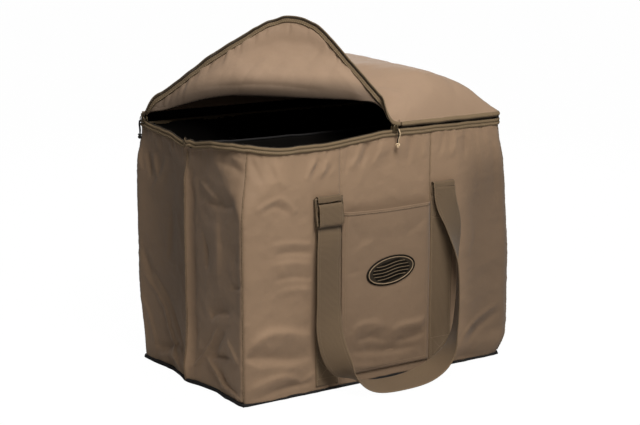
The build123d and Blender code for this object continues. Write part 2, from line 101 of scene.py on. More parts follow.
def fbm(x, y, seed=0, n=3):
    s, k, f = 0.0, 1.0, 1.0
    for i in range(n):
        s = s + k * vnoise(x * f + 13.7 * i, y * f - 7.1 * i, seed + 17 * i)
        k *= 0.5
        f *= 2.03
    return s


def ridged(x, y, seed=0, n=2):
    s, k, f = 0.0, 1.0, 1.0
    for i in range(n):
        s = s + k * (0.5 - np.abs(vnoise(x * f, y * f, seed + 31 * i)) * 1.6)
        k *= 0.5
        f *= 1.9
    return s


def unit(v):
    return v / np.maximum(np.linalg.norm(v, axis=-1, keepdims=True), 1e-12)


def catmull(pts, steps):
    pts = np.asarray(pts, float)
    out = []
    n = len(pts)
    for i in range(n - 1):
        a, b, c, d = pts[max(i - 1, 0)], pts[i], pts[i + 1], pts[min(i + 2, n - 1)]
        for s in range(steps):
            t = s / steps
            out.append(0.5 * (2 * b + (c - a) * t + (2 * a - 5 * b + 4 * c - d) * t * t + (3 * b - a - 3 * c + d) * t ** 3))
    out.append(pts[-1])
    return np.array(out)


def resample(P, step, extra=()):
    """Even stations along a polyline, other arrays carried along."""
    s = np.concatenate(([0.0], np.cumsum(np.linalg.norm(np.diff(P, axis=0), axis=1))))
    n = max(2, int(round(s[-1] / step)) + 1)
    q = np.linspace(0, s[-1], n)
    out = [np.stack([np.interp(q, s, A[:, k]) for k in range(A.shape[1])], 1) for A in (P,) + tuple(extra)]
    return out if extra else out[0]


# ---- materials --------------------------------------------------------------------------------
def lin(c):
    return tuple(v / 255 / 12.92 if v / 255 <= 0.04045 else ((v / 255 + 0.055) / 1.055) ** 2.4 for v in c)


def material(name, colour, rough=0.85, spread=0.10, weave=0.0, pitch=2.6, ribs=0.0, rib_pitch=1.3, crumple=0.25,
             fine=0.12, metal=0.0, sheen=0.0, grain=900.0):
    m = bpy.data.materials.new(name)
    m.use_nodes = True
    nt = m.node_tree
    nt.nodes.clear()
    N, L = nt.nodes.new, nt.links.new
    out, bsdf = N("ShaderNodeOutputMaterial"), N("ShaderNodeBsdfPrincipled")
    L(bsdf.outputs["BSDF"], out.inputs["Surface"])
    bsdf.inputs["Metallic"].default_value = metal
    if sheen:
        bsdf.inputs["Sheen Weight"].default_value = sheen
        bsdf.inputs["Sheen Roughness"].default_value = 0.5
    bsdf.inputs["Specular IOR Level"].default_value = 0.5 if metal else 0.06 if sum(colour) < 60 else 0.3
    co = N("ShaderNodeTexCoord")

    def noise(scale, detail=3.0, rough_=0.55):
        t = N("ShaderNodeTexNoise")
        t.inputs["Scale"].default_value = scale
        t.inputs["Detail"].default_value = detail
        t.inputs["Roughness"].default_value = rough_
        L(co.outputs["Object"], t.inputs["Vector"])
        return t

    def maths(op, a, b, clamp=False):
        t = N("ShaderNodeMath")
        t.operation = op
        t.use_clamp = clamp
        for i, v in enumerate((a, b)):
            if hasattr(v, "is_output"):
                L(v, t.inputs[i])
            else:
                t.inputs[i].default_value = v
        return t.outputs[0]

    big, mid, small = noise(5.0, 4.0), noise(38.0, 4.0), noise(grain, 2.0)
    base = lin(colour)
    dark = tuple(v * (1 - 1.3 * spread) for v in base)
    light = tuple(min(1.0, v * (1 + 1.3 * spread)) for v in base)
    ramp = N("ShaderNodeMix")
    ramp.data_type = "RGBA"
    ramp.inputs[6].default_value = dark + (1,)
    ramp.inputs[7].default_value = light + (1,)
    f = maths("ADD", maths("MULTIPLY", big.outputs["Fac"], 0.55), maths("MULTIPLY", mid.outputs["Fac"], 0.45))
    L(f, ramp.inputs[0])
    tone = N("ShaderNodeAttribute")
    tone.attribute_name = "tone"
    k = tone.outputs["Fac"]
    height = maths("ADD", maths("MULTIPLY", mid.outputs["Fac"], crumple * 1.0), maths("MULTIPLY", small.outputs["Fac"], fine * 0.12))
    if weave or ribs:
        uv = N("ShaderNodeUVMap")
        uv.uv_map = "weave"

        def wave(axis, scale):
            w = N("ShaderNodeTexWave")
            w.wave_type = "BANDS"
            w.bands_direction = axis
            w.inputs["Scale"].default_value = scale
            w.inputs["Distortion"].default_value = 0.35
            w.inputs["Detail"].default_value = 1.0
            L(uv.outputs["UV"], w.inputs["Vector"])
            return w.outputs["Fac"]

        if weave:
            w = maths("MULTIPLY", maths("ADD", wave("X", pitch), wave("Y", pitch)), 0.5)
            height = maths("ADD", height, maths("MULTIPLY", w, 0.07 * weave))
            k = maths("MULTIPLY", k, maths("ADD", maths("MULTIPLY", w, 0.16 * weave), 1 - 0.08 * weave))
        if ribs:
            w = wave("Y", rib_pitch)
            height = maths("ADD", height, maths("MULTIPLY", w, 0.22 * ribs))
            k = maths("MULTIPLY", k, maths("ADD", maths("MULTIPLY", w, 0.24 * ribs), 1 - 0.12 * ribs))
            w2 = wave("X", pitch)
            height = maths("ADD", height, maths("MULTIPLY", w2, 0.05 * ribs))
    k = maths("MULTIPLY", k, maths("ADD", maths("MULTIPLY", small.outputs["Fac"], 0.16), 0.92))
    sc = N("ShaderNodeVectorMath")
    sc.operation = "SCALE"
    L(ramp.outputs[2], sc.inputs[0])
    L(k, sc.inputs["Scale"])
    L(sc.outputs[0], bsdf.inputs["Base Color"])
    r = maths("ADD", maths("MULTIPLY", mid.outputs["Fac"], 0.16), rough - 0.08, True)
    L(r, bsdf.inputs["Roughness"])
    bump = N("ShaderNodeBump")
    bump.inputs["Strength"].default_value = 0.55
    bump.inputs["Distance"].default_value = 0.004
    L(height, bump.inputs["Height"])
    L(bump.outputs["Normal"], bsdf.inputs["Normal"])
    return m


M = {
    "shell": material("shell_cloth", (142, 116, 91), 0.74, 0.09, weave=0.8, crumple=0.42, sheen=0.10),
    # lid_cloth is the shell cloth made a little lighter: painted light on the lid's top, which faces the lamps
    "lid": material("lid_cloth", (150, 124, 100), 0.74, 0.08, weave=0.8, crumple=0.35, sheen=0.10),
    # lining and divider_cloth are near black as painted shade for the unlit inside of the bag; the cloth's own inner
    # face is the brown of the lid's underside
    "lining": material("lining", (13, 11, 9), 0.9, 0.12, weave=0.6, crumple=0.3),
    "divider": material("divider_cloth", (15, 13, 11), 0.9, 0.12, weave=0.6, crumple=0.3),
    "webbing": material("webbing", (104, 85, 63), 0.82, 0.08, ribs=1.0, rib_pitch=1.25, pitch=1.6, crumple=0.15, sheen=0.1),
    "tape": material("zip_tape", (112, 94, 70), 0.85, 0.14, weave=0.6, crumple=0.3),
    "coil": material("zip_coil", (50, 40, 28), 0.45, 0.10, crumple=0.1),
    "binding": material("black_binding", (26, 24, 23), 0.8, 0.2, weave=0.7, pitch=1.6, crumple=0.5),
    "piping": material("piping", (118, 97, 74), 0.8, 0.12, crumple=0.3),
    "plastic": material("adjuster_plastic", (104, 86, 64), 0.5, 0.06, crumple=0.08, fine=0.3),
    "metal": material("slider_metal", (92, 78, 56), 0.42, 0.15, metal=0.7, crumple=0.2),
    "cord": material("tan_cord", (208, 182, 146), 0.8, 0.12, crumple=0.2, grain=1500.0),
    "blackcord": material("black_cord", (28, 25, 22), 0.75, 0.15, crumple=0.2, grain=1500.0),
    "patch": material("patch", (46, 37, 24), 0.8, 0.10, ribs=0.5, rib_pitch=3.2, crumple=0.2),
    "patch_edge": material("patch_edge", (22, 18, 13), 0.6, 0.10, crumple=0.2),
    "thread": material("thread", (182, 156, 124), 0.7, 0.08, crumple=0.1),
}


# ---- mesh helpers (millimetres in, metres out) ---------------------------------------------------
def volume(V, F):
    t = []
    for f in F:
        for k in range(1, len(f) - 1):
            t.append((f[0], f[k], f[k + 1]))
    t = np.array(t)
    a, b, c = V[t[:, 0]], V[t[:, 1]], V[t[:, 2]]
    return float(np.einsum("ij,ij->i", a, np.cross(b, c)).sum())


class Piece:
    """Collects closed shells into one mesh object."""

    def __init__(self, name):
        self.name, self.V, self.F, self.mi, self.uv, self.tone, self.n = name, [], [], [], [], [], 0
        self.mats = []

    def add(self, V, F, mat, uv=None, tone=None, mats=None, check=True):
        V = np.asarray(V, float)
        F = [tuple(f) for f in F]
        if check and volume(V - V.mean(0), F) < 0:
            F = [tuple(reversed(f)) for f in F]
        names = mats if mats is not None else [mat] * len(F)
        for m in names:
            if m not in self.mats:
                self.mats.append(m)
        self.mi += [self.mats.index(m) for m in names]
        self.V.append(V)
        self.F += [tuple(i + self.n for i in f) for f in F]
        self.uv.append(np.zeros((len(V), 2)) if uv is None else np.asarray(uv, float))
        self.tone.append(np.ones(len(V)) if tone is None else np.broadcast_to(np.asarray(tone, float), (len(V),)))
        self.n += len(V)
        return self

    def done(self, body, replaces=(), soft=True):
        me = bpy.data.meshes.new(self.name)
        V = np.concatenate(self.V) * 0.001
        me.from_pydata(V.tolist(), [], self.F)
        for m in self.mats:
            me.materials.append(M[m])
        me.polygons.foreach_set("material_index", self.mi)
        me.polygons.foreach_set("use_smooth", [soft] * len(me.polygons))
        uv = np.concatenate(self.uv)
        idx = np.empty(len(me.loops), np.int32)
        me.loops.foreach_get("vertex_index", idx)
        layer = me.uv_layers.new(name="weave")
        layer.data.foreach_set("uv", uv[idx].astype(np.float32).ravel())
        at = me.attributes.new("tone", "FLOAT", "POINT")
        at.data.foreach_set("value", np.concatenate(self.tone).astype(np.float32))
        me.update()
        me.validate()
        ob = bpy.data.objects.new(self.name, me)
        scene.collection.objects.link(ob)
        if body:
            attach(ob, body)
        if replaces:
            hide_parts(*replaces)
        return ob


def normals(P, ref=None):
    du, dv = np.gradient(P, axis=0), np.gradient(P, axis=1)
    n = unit(np.cross(du, dv))
    if ref is not None:
        s = np.sign((n * ref).sum(-1).mean())
        n = n * (s if s != 0 else 1.0)
    return n


def quads(n, m, off=0, flip=False):
    i, j = np.meshgrid(np.arange(n - 1), np.arange(m - 1), indexing="ij")
    a = (i * m + j).ravel() + off
    q = np.stack([a, a + m, a + m + 1, a + 1], 1)
    return (q[:, ::-1] if flip else q).tolist()


def thick_sheet(piece, P, N, t, mat, inner=None, edge=None, uv=None, tone=None, bend=0.35):
    """A closed sheet: outer surface P, inner surface t below it along N, with a rounded edge."""
    n, m = P.shape[:2]
    t = np.broadcast_to(np.asarray(t, float), (n, m))[..., None]
    O, I = P.reshape(-1, 3), (P - N * t).reshape(-1, 3)
    F = quads(n, m) + quads(n, m, n * m, True)
    k = len(F) // 2
    ring = [i * m for i in range(n)] + [(n - 1) * m + j for j in range(1, m)] \
        + [i * m + m - 1 for i in range(n - 2, -1, -1)] + [j for j in range(m - 2, 0, -1)]
    # a third ring half way down makes the edge round
    C = P.reshape(n, m, 3).mean((0, 1))
    mid = []
    for q in ring:
        i, j = divmod(q, m)
        ii, jj = min(max(i, 1), n - 2), min(max(j, 1), m - 2)
        o = P[i, j] - P[ii, jj]
        o = o / max(np.linalg.norm(o), 1e-9)
        mid.append((P[i, j] - N[i, j] * t[i, j, 0] * 0.5) + o * t[i, j, 0] * bend)
    V = np.concatenate([O, I, np.array(mid)])
    r = len(ring)
    b = 2 * n * m
    for a in range(r):
        c = (a + 1) % r
        F.append((ring[a], b + a, b + c, ring[c]))
        F.append((b + a, ring[a] + n * m, ring[c] + n * m, b + c))
    mats = [mat] * k + [inner or mat] * k + [edge or mat] * (2 * r)
    if uv is None:
        lu = np.concatenate(([0], np.cumsum(np.linalg.norm(np.diff(P[:, m // 2], axis=0), axis=1)))) / 10
        lv = np.concatenate(([0], np.cumsum(np.linalg.norm(np.diff(P[n // 2], axis=0), axis=1)))) / 10
        uv = np.stack(np.meshgrid(lu, lv, indexing="ij"), -1)
    U = uv.reshape(-1, 2)
    T = np.ones((n, m)) if tone is None else tone
    T = T.ravel()
    # orientation by the stated normal, not by volume, for nearly flat sheets
    q = F[k // 2]
    a, c, d = V[q[0]], V[q[1]], V[q[2]]
    nn = np.cross(c - a, d - a)
    if np.dot(nn, N[(q[0] // m), q[0] % m]) < 0:
        F = [tuple(reversed(f)) for f in F]
    piece.add(V, F, mat, uv=np.concatenate([U, U, U[ring]]), tone=np.concatenate([T, T, T[ring] * 0.95]), mats=mats, check=False)
    return piece


def tube(piece, pts, r, mat, sides=8, tone=None, closed=False, flat=(1.0, 1.0), ref=(0.31, 0.95, 0.02)):
    pts = np.asarray(pts, float)
    n = len(pts)
    r = np.broadcast_to(np.asarray(r, float), (n,))
    if closed:
        t = unit(np.roll(pts, -1, 0) - np.roll(pts, 1, 0))
    else:
        t = unit(np.gradient(pts, axis=0))
    a = np.zeros((n, 3))
    v = np.cross(t[0], np.asarray(ref, float))
    for i in range(n):
        v = v - t[i] * np.dot(v, t[i])
        v = v / max(np.linalg.norm(v), 1e-9)
        a[i] = v
    b = np.cross(t, a)
    ang = np.arange(sides) * 2 * math.pi / sides
    V = pts[:, None] + r[:, None, None] * (a[:, None] * np.cos(ang)[None, :, None] * flat[0]
                                            + b[:, None] * np.sin(ang)[None, :, None] * flat[1])
    F = []
    for i in range(n if closed else n - 1):
        j = (i + 1) % n
        for k in range(sides):
            l = (k + 1) % sides
            F.append((i * sides + k, i * sides + l, j * sides + l, j * sides + k))
    V = V.reshape(-1, 3)
    if not closed:
        V = np.concatenate([V, [pts[0] - t[0] * r[0] * 0.5], [pts[-1] + t[-1] * r[-1] * 0.5]])
        for k in range(sides):
            l = (k + 1) % sides
            F.append((k, n * sides, l))
            F.append(((n - 1) * sides + k, (n - 1) * sides + l, n * sides + 1))
    T = None if tone is None else np.full(len(V), tone)
    uv = np.zeros((len(V), 2))
    s = np.concatenate(([0], np.cumsum(np.linalg.norm(np.diff(pts, axis=0), axis=1)))) / 10
    uv[:n * sides, 1] = np.repeat(s, sides)
    uv[:n * sides, 0] = np.tile(ang, n) * 0.1
    piece.add(V, F, mat, uv=uv, tone=T)
    return piece


def sweep(piece, C, N, prof, mat, closed=False, dn=0.0, dz=0.0, tone=None, post=None, mats=None):
    """A profile (outward, height) drawn along a level path with outward directions."""
    n, k = len(C), len(prof)
    prof = np.asarray(prof, float)
    dn = np.broadcast_to(np.asarray(dn, float), (n,))[:, None]
    dz = np.broadcast_to(np.asarray(dz, float), (n,))[:, None]
    off = prof[None, :, 0] + dn
    V = np.empty((n, k, 3))
    V[..., 0] = C[:, None, 0] + N[:, None, 0] * off
    V[..., 1] = C[:, None, 1] + N[:, None, 1] * off
    V[..., 2] = prof[None, :, 1] + dz
    if post is not None:
        V = post(V)
    F, mm = [], []
    for i in range(n if closed else n - 1):
        j = (i + 1) % n
        for a in range(k):
            b = (a + 1) % k
            F.append((i * k + a, j * k + a, j * k + b, i * k + b))
            mm.append(mats[a] if mats else mat)
    if not closed:
        F.append(tuple(range(k)))
        F.append(tuple((n - 1) * k + a for a in reversed(range(k))))
        mm += [mat, mat]
    s = np.concatenate(([0], np.cumsum(np.linalg.norm(np.diff(C, axis=0), axis=1)))) / 10
    q = np.concatenate(([0], np.cumsum(np.linalg.norm(np.diff(prof, axis=0), axis=1)))) / 10
    uv = np.stack(np.meshgrid(s, q, indexing="ij"), -1).reshape(-1, 2)
    T = None
    if tone is not None:
        T = np.broadcast_to(np.asarray(tone, float)[None, :] if np.ndim(tone) == 1 else tone, (n, k)).ravel()
    piece.add(V.reshape(-1, 3), F, mat, uv=uv, tone=T, mats=mm)
    return piece


def stitches(piece, P, Nn, spacing=4.6, length=3.1, r=0.42, lift=0.15, mat="thread", tone=1.0):
    """A line of thread stitches lying along a path on cloth."""
    P, Nn = resample(P, spacing, (Nn,))
    t, n = unit(np.gradient(P, axis=0)), unit(Nn)
    b = np.cross(t, n)
    c = P + n * lift
    rings = []
    for f, k in ((-0.5, 0.35), (-0.18, 1.0), (0.18, 1.0), (0.5, 0.35)):
        for u, w in ((1, 0), (0, 1), (-1, 0), (0, -1)):
            rings.append(c + t * length * f + (b * u + n * w) * r * k)
    V = np.stack(rings, 1)
    F0 = []
    for a in range(3):
        for k in range(4):
            l = (k + 1) % 4
            F0.append((a * 4 + k, a * 4 + l, a * 4 + 4 + l, a * 4 + 4 + k))
    F0 += [(3, 2, 1, 0), (12, 13, 14, 15)]
    if volume(V[0] - V[0].mean(0), F0) < 0:
        F0 = [tuple(reversed(f)) for f in F0]
    F0 = np.array(F0)
    F = (F0[None] + 16 * np.arange(len(P))[:, None, None]).reshape(-1, 4).tolist()
    piece.add(V.reshape(-1, 3), F, mat, tone=np.full(len(P) * 16, tone), check=False)
    return piece


def block(piece, c, s, mat, axes=None, r=0.8, tone=1.0):
    """A block with rounded edges: centre, full size, optional axes."""
    s = np.asarray(s, float) / 2
    r = min(r, 0.45 * s.min() * 2 / 2)
    A = np.eye(3) if axes is None else np.asarray(axes, float)
    ring = [(-1, -1), (1, -1), (1, 1), (-1, 1)]
    lay = [(-1.0, r), (-1.0 + r / s[2], 0.0), (1.0 - r / s[2], 0.0), (1.0, r)]
    V = []
    for z, ins in lay:
        for k, (a, b) in enumerate(ring):
            for p in (0, 1):
                x, y = a * (s[0] - ins), b * (s[1] - ins)
                # two points round every upright edge
                if (k + p) % 2 == 0:
                    x -= a * r
                else:
                    y -= b * r
                V.append((x, y, z * s[2]))
    V = np.array(V) @ A + np.asarray(c, float)
    F = []
    for a in range(3):
        for k in range(8):
            l = (k + 1) % 8
            F.append((a * 8 + k, a * 8 + l, a * 8 + 8 + l, a * 8 + 8 + k))
    F += [tuple(reversed(range(8))), tuple(range(24, 32))]
    piece.add(V, F, mat, tone=tone)
    return piece


# ---- the bag's outline -------------------------------------------------------------------------------
HX, HY, RIM_Z, WALL = 355.0, 225.0, 556.0, 3.0
RIM = {"fl": 130.0, "fr": 30.0, "br": 30.0, "bl": 20.0}
SIDE = {"front": ("fl", "fr", HX, HY), "right": ("fr", "br", HY, HX), "back": ("br", "bl", HX, HY), "left": ("bl", "fl", HY, HX)}


def radius(c, z):
    return 12 + (RIM[c] - 12) * smooth((z - 400) / (RIM_Z - 400))


def world(side, a, o):
    return {"front": (a, -o), "right": (o, a), "back": (-a, o), "left": (-o, -a)}[side]


def on_side(side, tau, z):
    """Place along a side and outward direction at a developed distance from the side's middle."""
    ca, cb, L, D = SIDE[side]
    Ra, Rb = radius(ca, z), radius(cb, z)
    lo, hi = -(L - Ra), L - Rb
    qa, qb = np.clip((lo - tau) / Ra, 0, None), np.clip((tau - hi) / Rb, 0, None)
    a = np.clip(tau, lo, hi) - Ra * np.sin(qa) + Rb * np.sin(qb)
    o = D - Ra * (1 - np.cos(qa)) - Rb * (1 - np.cos(qb))
    return a, o, np.sin(qb) - np.sin(qa), np.cos(qa) * np.cos(qb)


def span(side, z):
    ca, cb, L, D = SIDE[side]
    Ra, Rb = radius(ca, z), radius(cb, z)
    return -(L - Ra) - Ra * math.pi / 4, (L - Rb) + Rb * math.pi / 4


def sag(x, y):
    """How far the open part of the rim hangs below the zipped part."""
    f = 15.0 * smooth((50 - x) / 230) * (1 - 0.6 * smooth((-240 - x) / 110)) * smooth((-y - 120) / 60)
    l = (6.0 + 17.0 * bell(y, 0, 70)) * (1 - smooth((y - 140) / 60)) * smooth((-x - 300) / 50)
    return np.maximum(f, l) - 10.0 * np.exp(-((y - 1.0) / 7.5) ** 2) * smooth((-x - 300) / 50)


def rim_path(step=4.0):
    C, N = [], []
    for side in ("front", "right", "back", "left"):
        lo, hi = span(side, RIM_Z)
        n = max(4, int((hi - lo) / step))
        tau = lo + (hi - lo) * np.arange(n) / n
        a, o, na, no = on_side(side, tau, np.full(n, RIM_Z))
        C.append(np.stack(world(side, a, o), 1))
        N.append(np.stack(world(side, na, no), 1))
    return np.concatenate(C), unit(np.concatenate(N))


# creases and bulges: route in (along, height), width, height of the fold
FRONT_FOLDS = [
    ([(-169, 540), (-182, 520), (-197, 491)], 7, 3.5), ([(-156, 537), (-166, 514), (-176, 489)], 7, -4),
    ([(-138, 533), (-151, 508), (-164, 474)], 7, 3.5), ([(-125, 518), (-143, 485), (-166, 457)], 8, -4),
    ([(-83, 545), (-85, 514), (-93, 489)], 6, -3), ([(-24, 551), (-35, 525), (-51, 498)], 9, -4),
    ([(-51, 551), (-61, 525), (-83, 501)], 8, 3), ([(8, 550), (0, 524), (-18, 499)], 8, 3),
    ([(-317, 548), (-307, 523), (-298, 493)], 9, -3), ([(-336, 552), (-332, 526), (-322, 499)], 8, 3),
    ([(-272, 541), (-263, 510), (-253, 475)], 9, 2.5), ([(-323, 429), (-293, 445), (-258, 458)], 10, 3.5),
    ([(-258, 458), (-235, 439), (-220, 415)], 10, 3), ([(-308, 423), (-268, 438), (-228, 414)], 12, -4),
    ([(-284, 349), (-233, 349), (-177, 339)], 9, 2.5), ([(-274, 326), (-228, 326), (-177, 317)], 8, -3),
    ([(-289, 304), (-233, 305), (-177, 293)], 9, 2.5), ([(-274, 269), (-228, 271), (-177, 262)], 8, -3),
    ([(-254, 244), (-213, 244), (-177, 237)], 8, 2.5),
    ([(-336, 132), (-310, 150), (-275, 156), (-224, 146), (-179, 132)], 15, 7.5),
    ([(-351, 112), (-311, 98), (-260, 88), (-182, 84)], 13, -7),
    ([(-350, 101), (-326, 98), (-275, 87), (-214, 69)], 10, 5), ([(-350, 109), (-336, 102), (-311, 88)], 6, -5),
    ([(-337, 37), (-296, 50), (-250, 53), (-203, 31)], 10, 4), ([(-312, 17), (-260, 23), (-203, 24), (-172, 27)], 8, -4),
    ([(-214, 26), (-187, 39), (-161, 53)], 9, 3), ([(-355, 175), (-350, 183), (-338, 179)], 6, 3),
    ([(331, 124), (304, 109), (268, 88), (239, 58)], 8, 4), ([(344, 108), (317, 90), (287, 68), (257, 43)], 10, -4),
    ([(348, 161), (345, 258), (336, 355)], 9, -2.5), ([(317, 522), (325, 451), (330, 368)], 10, -3),
    ([(274, 553), (284, 502), (295, 440)], 10, 2), ([(181, 555), (176, 523), (165, 490)], 7, -2.5),
    ([(210, 554), (208, 520), (200, 491)], 7, 2.5), ([(96, 553), (88, 520), (78, 485)], 8, -2.5),
    ([(60, 553), (52, 530), (44, 505)], 7, 2.2), ([(130, 553), (126, 525), (118, 498)], 7, 2.2),
    ([(240, 553), (244, 520), (240, 490)], 8, -2.4), ([(300, 552), (306, 520), (312, 480)], 9, 2.4),
]
POCKET_FOLDS = [
    ([(-76, 299), (-49, 319), (-17, 328)], 12, 2.5), ([(-95, 261), (-76, 261), (-49, 262)], 8, -2),
    ([(-75, 128), (-54, 139), (-21, 140), (13, 131)], 10, 4), ([(-59, 103), (-20, 103), (24, 89)], 10, -4),
    ([(35, 113), (69, 122), (109, 122), (136, 128)], 11, 5), ([(47, 85), (92, 85), (134, 92)], 11, -4),
    ([(-81, 81), (-20, 71), (53, 63), (115, 64)], 14, -6), ([(-80, 48), (-9, 31), (70, 30)], 12, 4),
    ([(66, 336), (94, 346), (122, 366)], 12, -2.5), ([(-90, 380), (-60, 350), (-50, 320)], 12, -2.0),
]
LEFT_FOLDS = [
    ([(202, 211), (159, 175), (131, 143), (114, 94), (92, 47), (51, 19), (9, 9)], 5.5, 3.6),
    ([(176, 228), (130, 181), (93, 127), (67, 82), (36, 42)], 12, -3.6), ([(224, 161), (196, 123), (183, 78), (170, 32)], 8, 3),
    ([(175, 43), (135, 46), (87, 63), (49, 62)], 9, -4), ([(156, 21), (107, 38), (59, 36)], 8, 4),
    ([(-116, 151), (-93, 121), (-66, 89), (-38, 61), (-10, 35)], 4.0, 4.6), ([(-94, 171), (-125, 189), (-168, 197)], 10, -5),
    ([(-150, 152), (-117, 117), (-85, 83)], 13, -5), ([(-65, 75), (-96, 55), (-138, 30), (-185, 20), (-226, 11)], 4.2, 4.4),
    ([(-83, 77), (-123, 89), (-165, 96)], 7, -5), ([(-113, 53), (-155, 27), (-197, 21)], 9, -4),
    ([(-158, 134), (-183, 116), (-207, 91)], 9, 3), ([(-117, 529), (-159, 520), (-196, 509), (-220, 491)], 11, -4),
    ([(-159, 537), (-196, 530), (-224, 523)], 9, 3.5), ([(-72, 435), (-110, 430), (-153, 431), (-198, 441)], 12, -3.5),
    ([(-47, 479), (-90, 455), (-123, 439)], 12, 3), ([(-61, 362), (-77, 320), (-80, 276)], 11, -3),
    ([(-126, 391), (-133, 331), (-127, 263)], 12, 2.5), ([(-178, 254), (-198, 259), (-219, 265)], 6, -3),
    ([(183, 504), (179, 477), (166, 447)], 7, -3.5), ([(154, 504), (150, 477), (142, 446)], 7, 3),
    ([(207, 510), (208, 482), (200, 455)], 6, 2.5), ([(106, 506), (127, 462), (168, 414)], 10, 3),
    ([(92, 403), (95, 333), (107, 256)], 13, -3), ([(223, 286), (195, 239), (177, 204)], 9, -3),
]
BACK_FOLDS = [
    ([(-300, 480), (-250, 440), (-210, 430)], 12, -3.5), ([(-60, 520), (-70, 480), (-60, 430)], 10, 3),
    ([(60, 500), (80, 440), (70, 380)], 12, -3), ([(-40, 150), (30, 165), (90, 140)], 14, 4),
    ([(-60, 90), (10, 100), (100, 80)], 13, -4), ([(240, 120), (290, 150), (340, 140)], 12, 4),
    ([(-330, 110), (-280, 130), (-220, 110)], 12, 4), ([(-320, 70), (-270, 80), (-210, 60)], 11, -4),
    ([(280, 420), (300, 360), (290, 300)], 12, -3), ([(250, 60), (300, 50), (345, 70)], 10, -3.5),
]


def strokes(X, Z, lst):
    """A bulge is steep above and slack below, and a hollow the other way round, as cloth sags."""
    D = np.zeros(X.shape)
    for pts, w, d in lst:
        q = catmull(pts, 5)
        lo, hi = q.min(0) - 4 * w, q.max(0) + 4 * w
        m = (X > lo[0]) & (X < hi[0]) & (Z > lo[1]) & (Z < hi[1])
        if not m.any():
            continue
        chord = q[-1] - q[0]
        turn_ = 1.0 if -chord[1] * -0.35 + chord[0] > 0 else -1.0
        p = np.stack([X[m], Z[m]], 1)
        best, along, over = np.full(len(p), 1e9), np.zeros(len(p)), np.zeros(len(p))
        for i in range(len(q) - 1):
            e = q[i + 1] - q[i]
            v = p - q[i]
            f = np.clip((v @ e) / max(e @ e, 1e-9), 0, 1)
            r = np.linalg.norm(v - f[:, None] * e, axis=1)
            k = r < best
            best[k] = r[k]
            along[k] = ((i + f) / (len(q) - 1))[k]
            over[k] = ((v[:, 1] * e[0] - v[:, 0] * e[1]) * turn_ / max(math.sqrt(e @ e), 1e-9))[k]
        up = smooth(over / w + 0.5)
        up = 1 - up if d > 0 else up
        reach_ = w * (0.62 + 0.95 * up)
        D[m] += d * np.sin(math.pi * np.clip(along, 0.02, 0.98)) ** 0.6 * np.exp(-(best / reach_) ** 1.6)
    return D


def ridge_height(z):
    return 9.5 * smooth((z - 4) / 60 + 0.4) * (1 - smooth((z - 470) / 62))


def belly(side, a, z):
    """The stuffed bag's fullness, strongest low down by the front right and the back left corner."""
    x, y = world(side, a, SIDE[side][3])
    b = 21.0 * np.exp(-((x - 355) ** 2 + (y + 225) ** 2) / 105.0 ** 2) * smooth(z / 50) * (1 - smooth((z - 210) / 340))
    b = b + 13.0 * np.exp(-((x + 355) ** 2 + (y - 225) ** 2) / 90.0 ** 2) * smooth((z - 5) / 200) * (1 - smooth((z - 470) / 86))
    b = b + 12.0 * np.exp(-((x - 355) ** 2 + (y - 225) ** 2) / 100.0 ** 2) * smooth(z / 80) * (1 - smooth((z - 250) / 300))
    return b


def wall_shape(side, seed):
    """Outward displacement of one side's cloth."""
    lst = {"front": FRONT_FOLDS, "left": LEFT_FOLDS, "back": BACK_FOLDS, "right": []}[side]

    def f(a, z, e):
        key = -a if side == "left" else a
        if side == "right":
            k = 0.8 * strokes(a, z, LEFT_FOLDS)
        else:
            k = (1.5 if side == "left" else 1.25) * strokes(key, z, lst)
        hold = 1 - 0.92 * np.exp(-(e / 14.0) ** 2)
        w = 2.0 * fbm(a / 95 + 0.3 * vnoise(a / 60, z / 60, seed + 5), z / 120, seed)
        w = w + 1.1 * ridged(a / 70 + z / 150, z / 55 - a / 210, seed + 3)
        w = w + 0.35 * fbm(a / 15, z / 17, seed + 9, 2)
        k = k + w
        if side == "front":
            strap = (np.exp(-(np.abs(a + 139) / 40) ** 6) + np.exp(-(np.abs(a - 175) / 40) ** 6)) * (1 - smooth((z - 484) / 30))
            k = k * (1 - 0.95 * strap) + 2.0 * np.sin(math.pi * np.clip(z / RIM_Z, 0, 1)) * (1 - strap)
            behind = smooth((a + 112) / 8) * (1 - smooth((a - 151) / 8)) * (1 - smooth((z - 398) / 25))
            k = k * (1 - 0.9 * behind) - 1.5 * behind
            k = k + 3.2 * (1 - smooth((z - 3) / 10)) * (1 - behind) * (1 - strap)
        if side == "back":
            strap = (np.exp(-(np.abs(a + 139) / 40) ** 6) + np.exp(-(np.abs(a - 175) / 40) ** 6)) * (1 - smooth((z - 484) / 30))
            k = k * (1 - 0.95 * strap) + 2.0 * np.sin(math.pi * np.clip(z / RIM_Z, 0, 1)) * (1 - strap)
        if side == "left":
            k = k - 10.0 * np.sin(math.pi * np.clip(-a / 225, 0, 1)) * smooth(z / 80) * smooth((560 - z) / 90)
            k = k - 4.0 * np.sin(math.pi * np.clip(a / 225, 0, 1)) * smooth(z / 80)
            k = k - 5.5 * bell(a, 17.0, 11.0) * smooth(z / 60) * (1 - smooth((z - 440) / 90)) * (0.8 + 0.3 * vnoise(z / 90, 0.0, 77))
            k = k + 6.0 * bell(a, 110.0, 60.0) * smooth((z - 60) / 120) * (1 - smooth((z - 380) / 150))
        if side == "right":
            k = k - 3.0 * np.sin(math.pi * np.clip(np.abs(a) / 225, 0, 1)) * smooth(z / 80)
        k = k * hold * smooth((z + 2) / 14) + belly(side, a, z)
        if side in ("left", "right"):
            k = k + ridge_height(z) * np.exp(-(np.abs(a) / 5.0) ** 1.7)
        # gathers under the zip, puckers beside the seams
        k = k + 1.5 * np.exp(-(RIM_Z - z) / 22) * vnoise(a / 8.0, z / 60, seed + 21) * (1 - np.exp(-(e / 8) ** 2))
        k = k + 0.55 * np.exp(-(e / 13) ** 2) * vnoise(e / 9, z / 6.5, seed + 27) - 1.3 * np.exp(-(e / 4.0) ** 2)
        return k

    return f


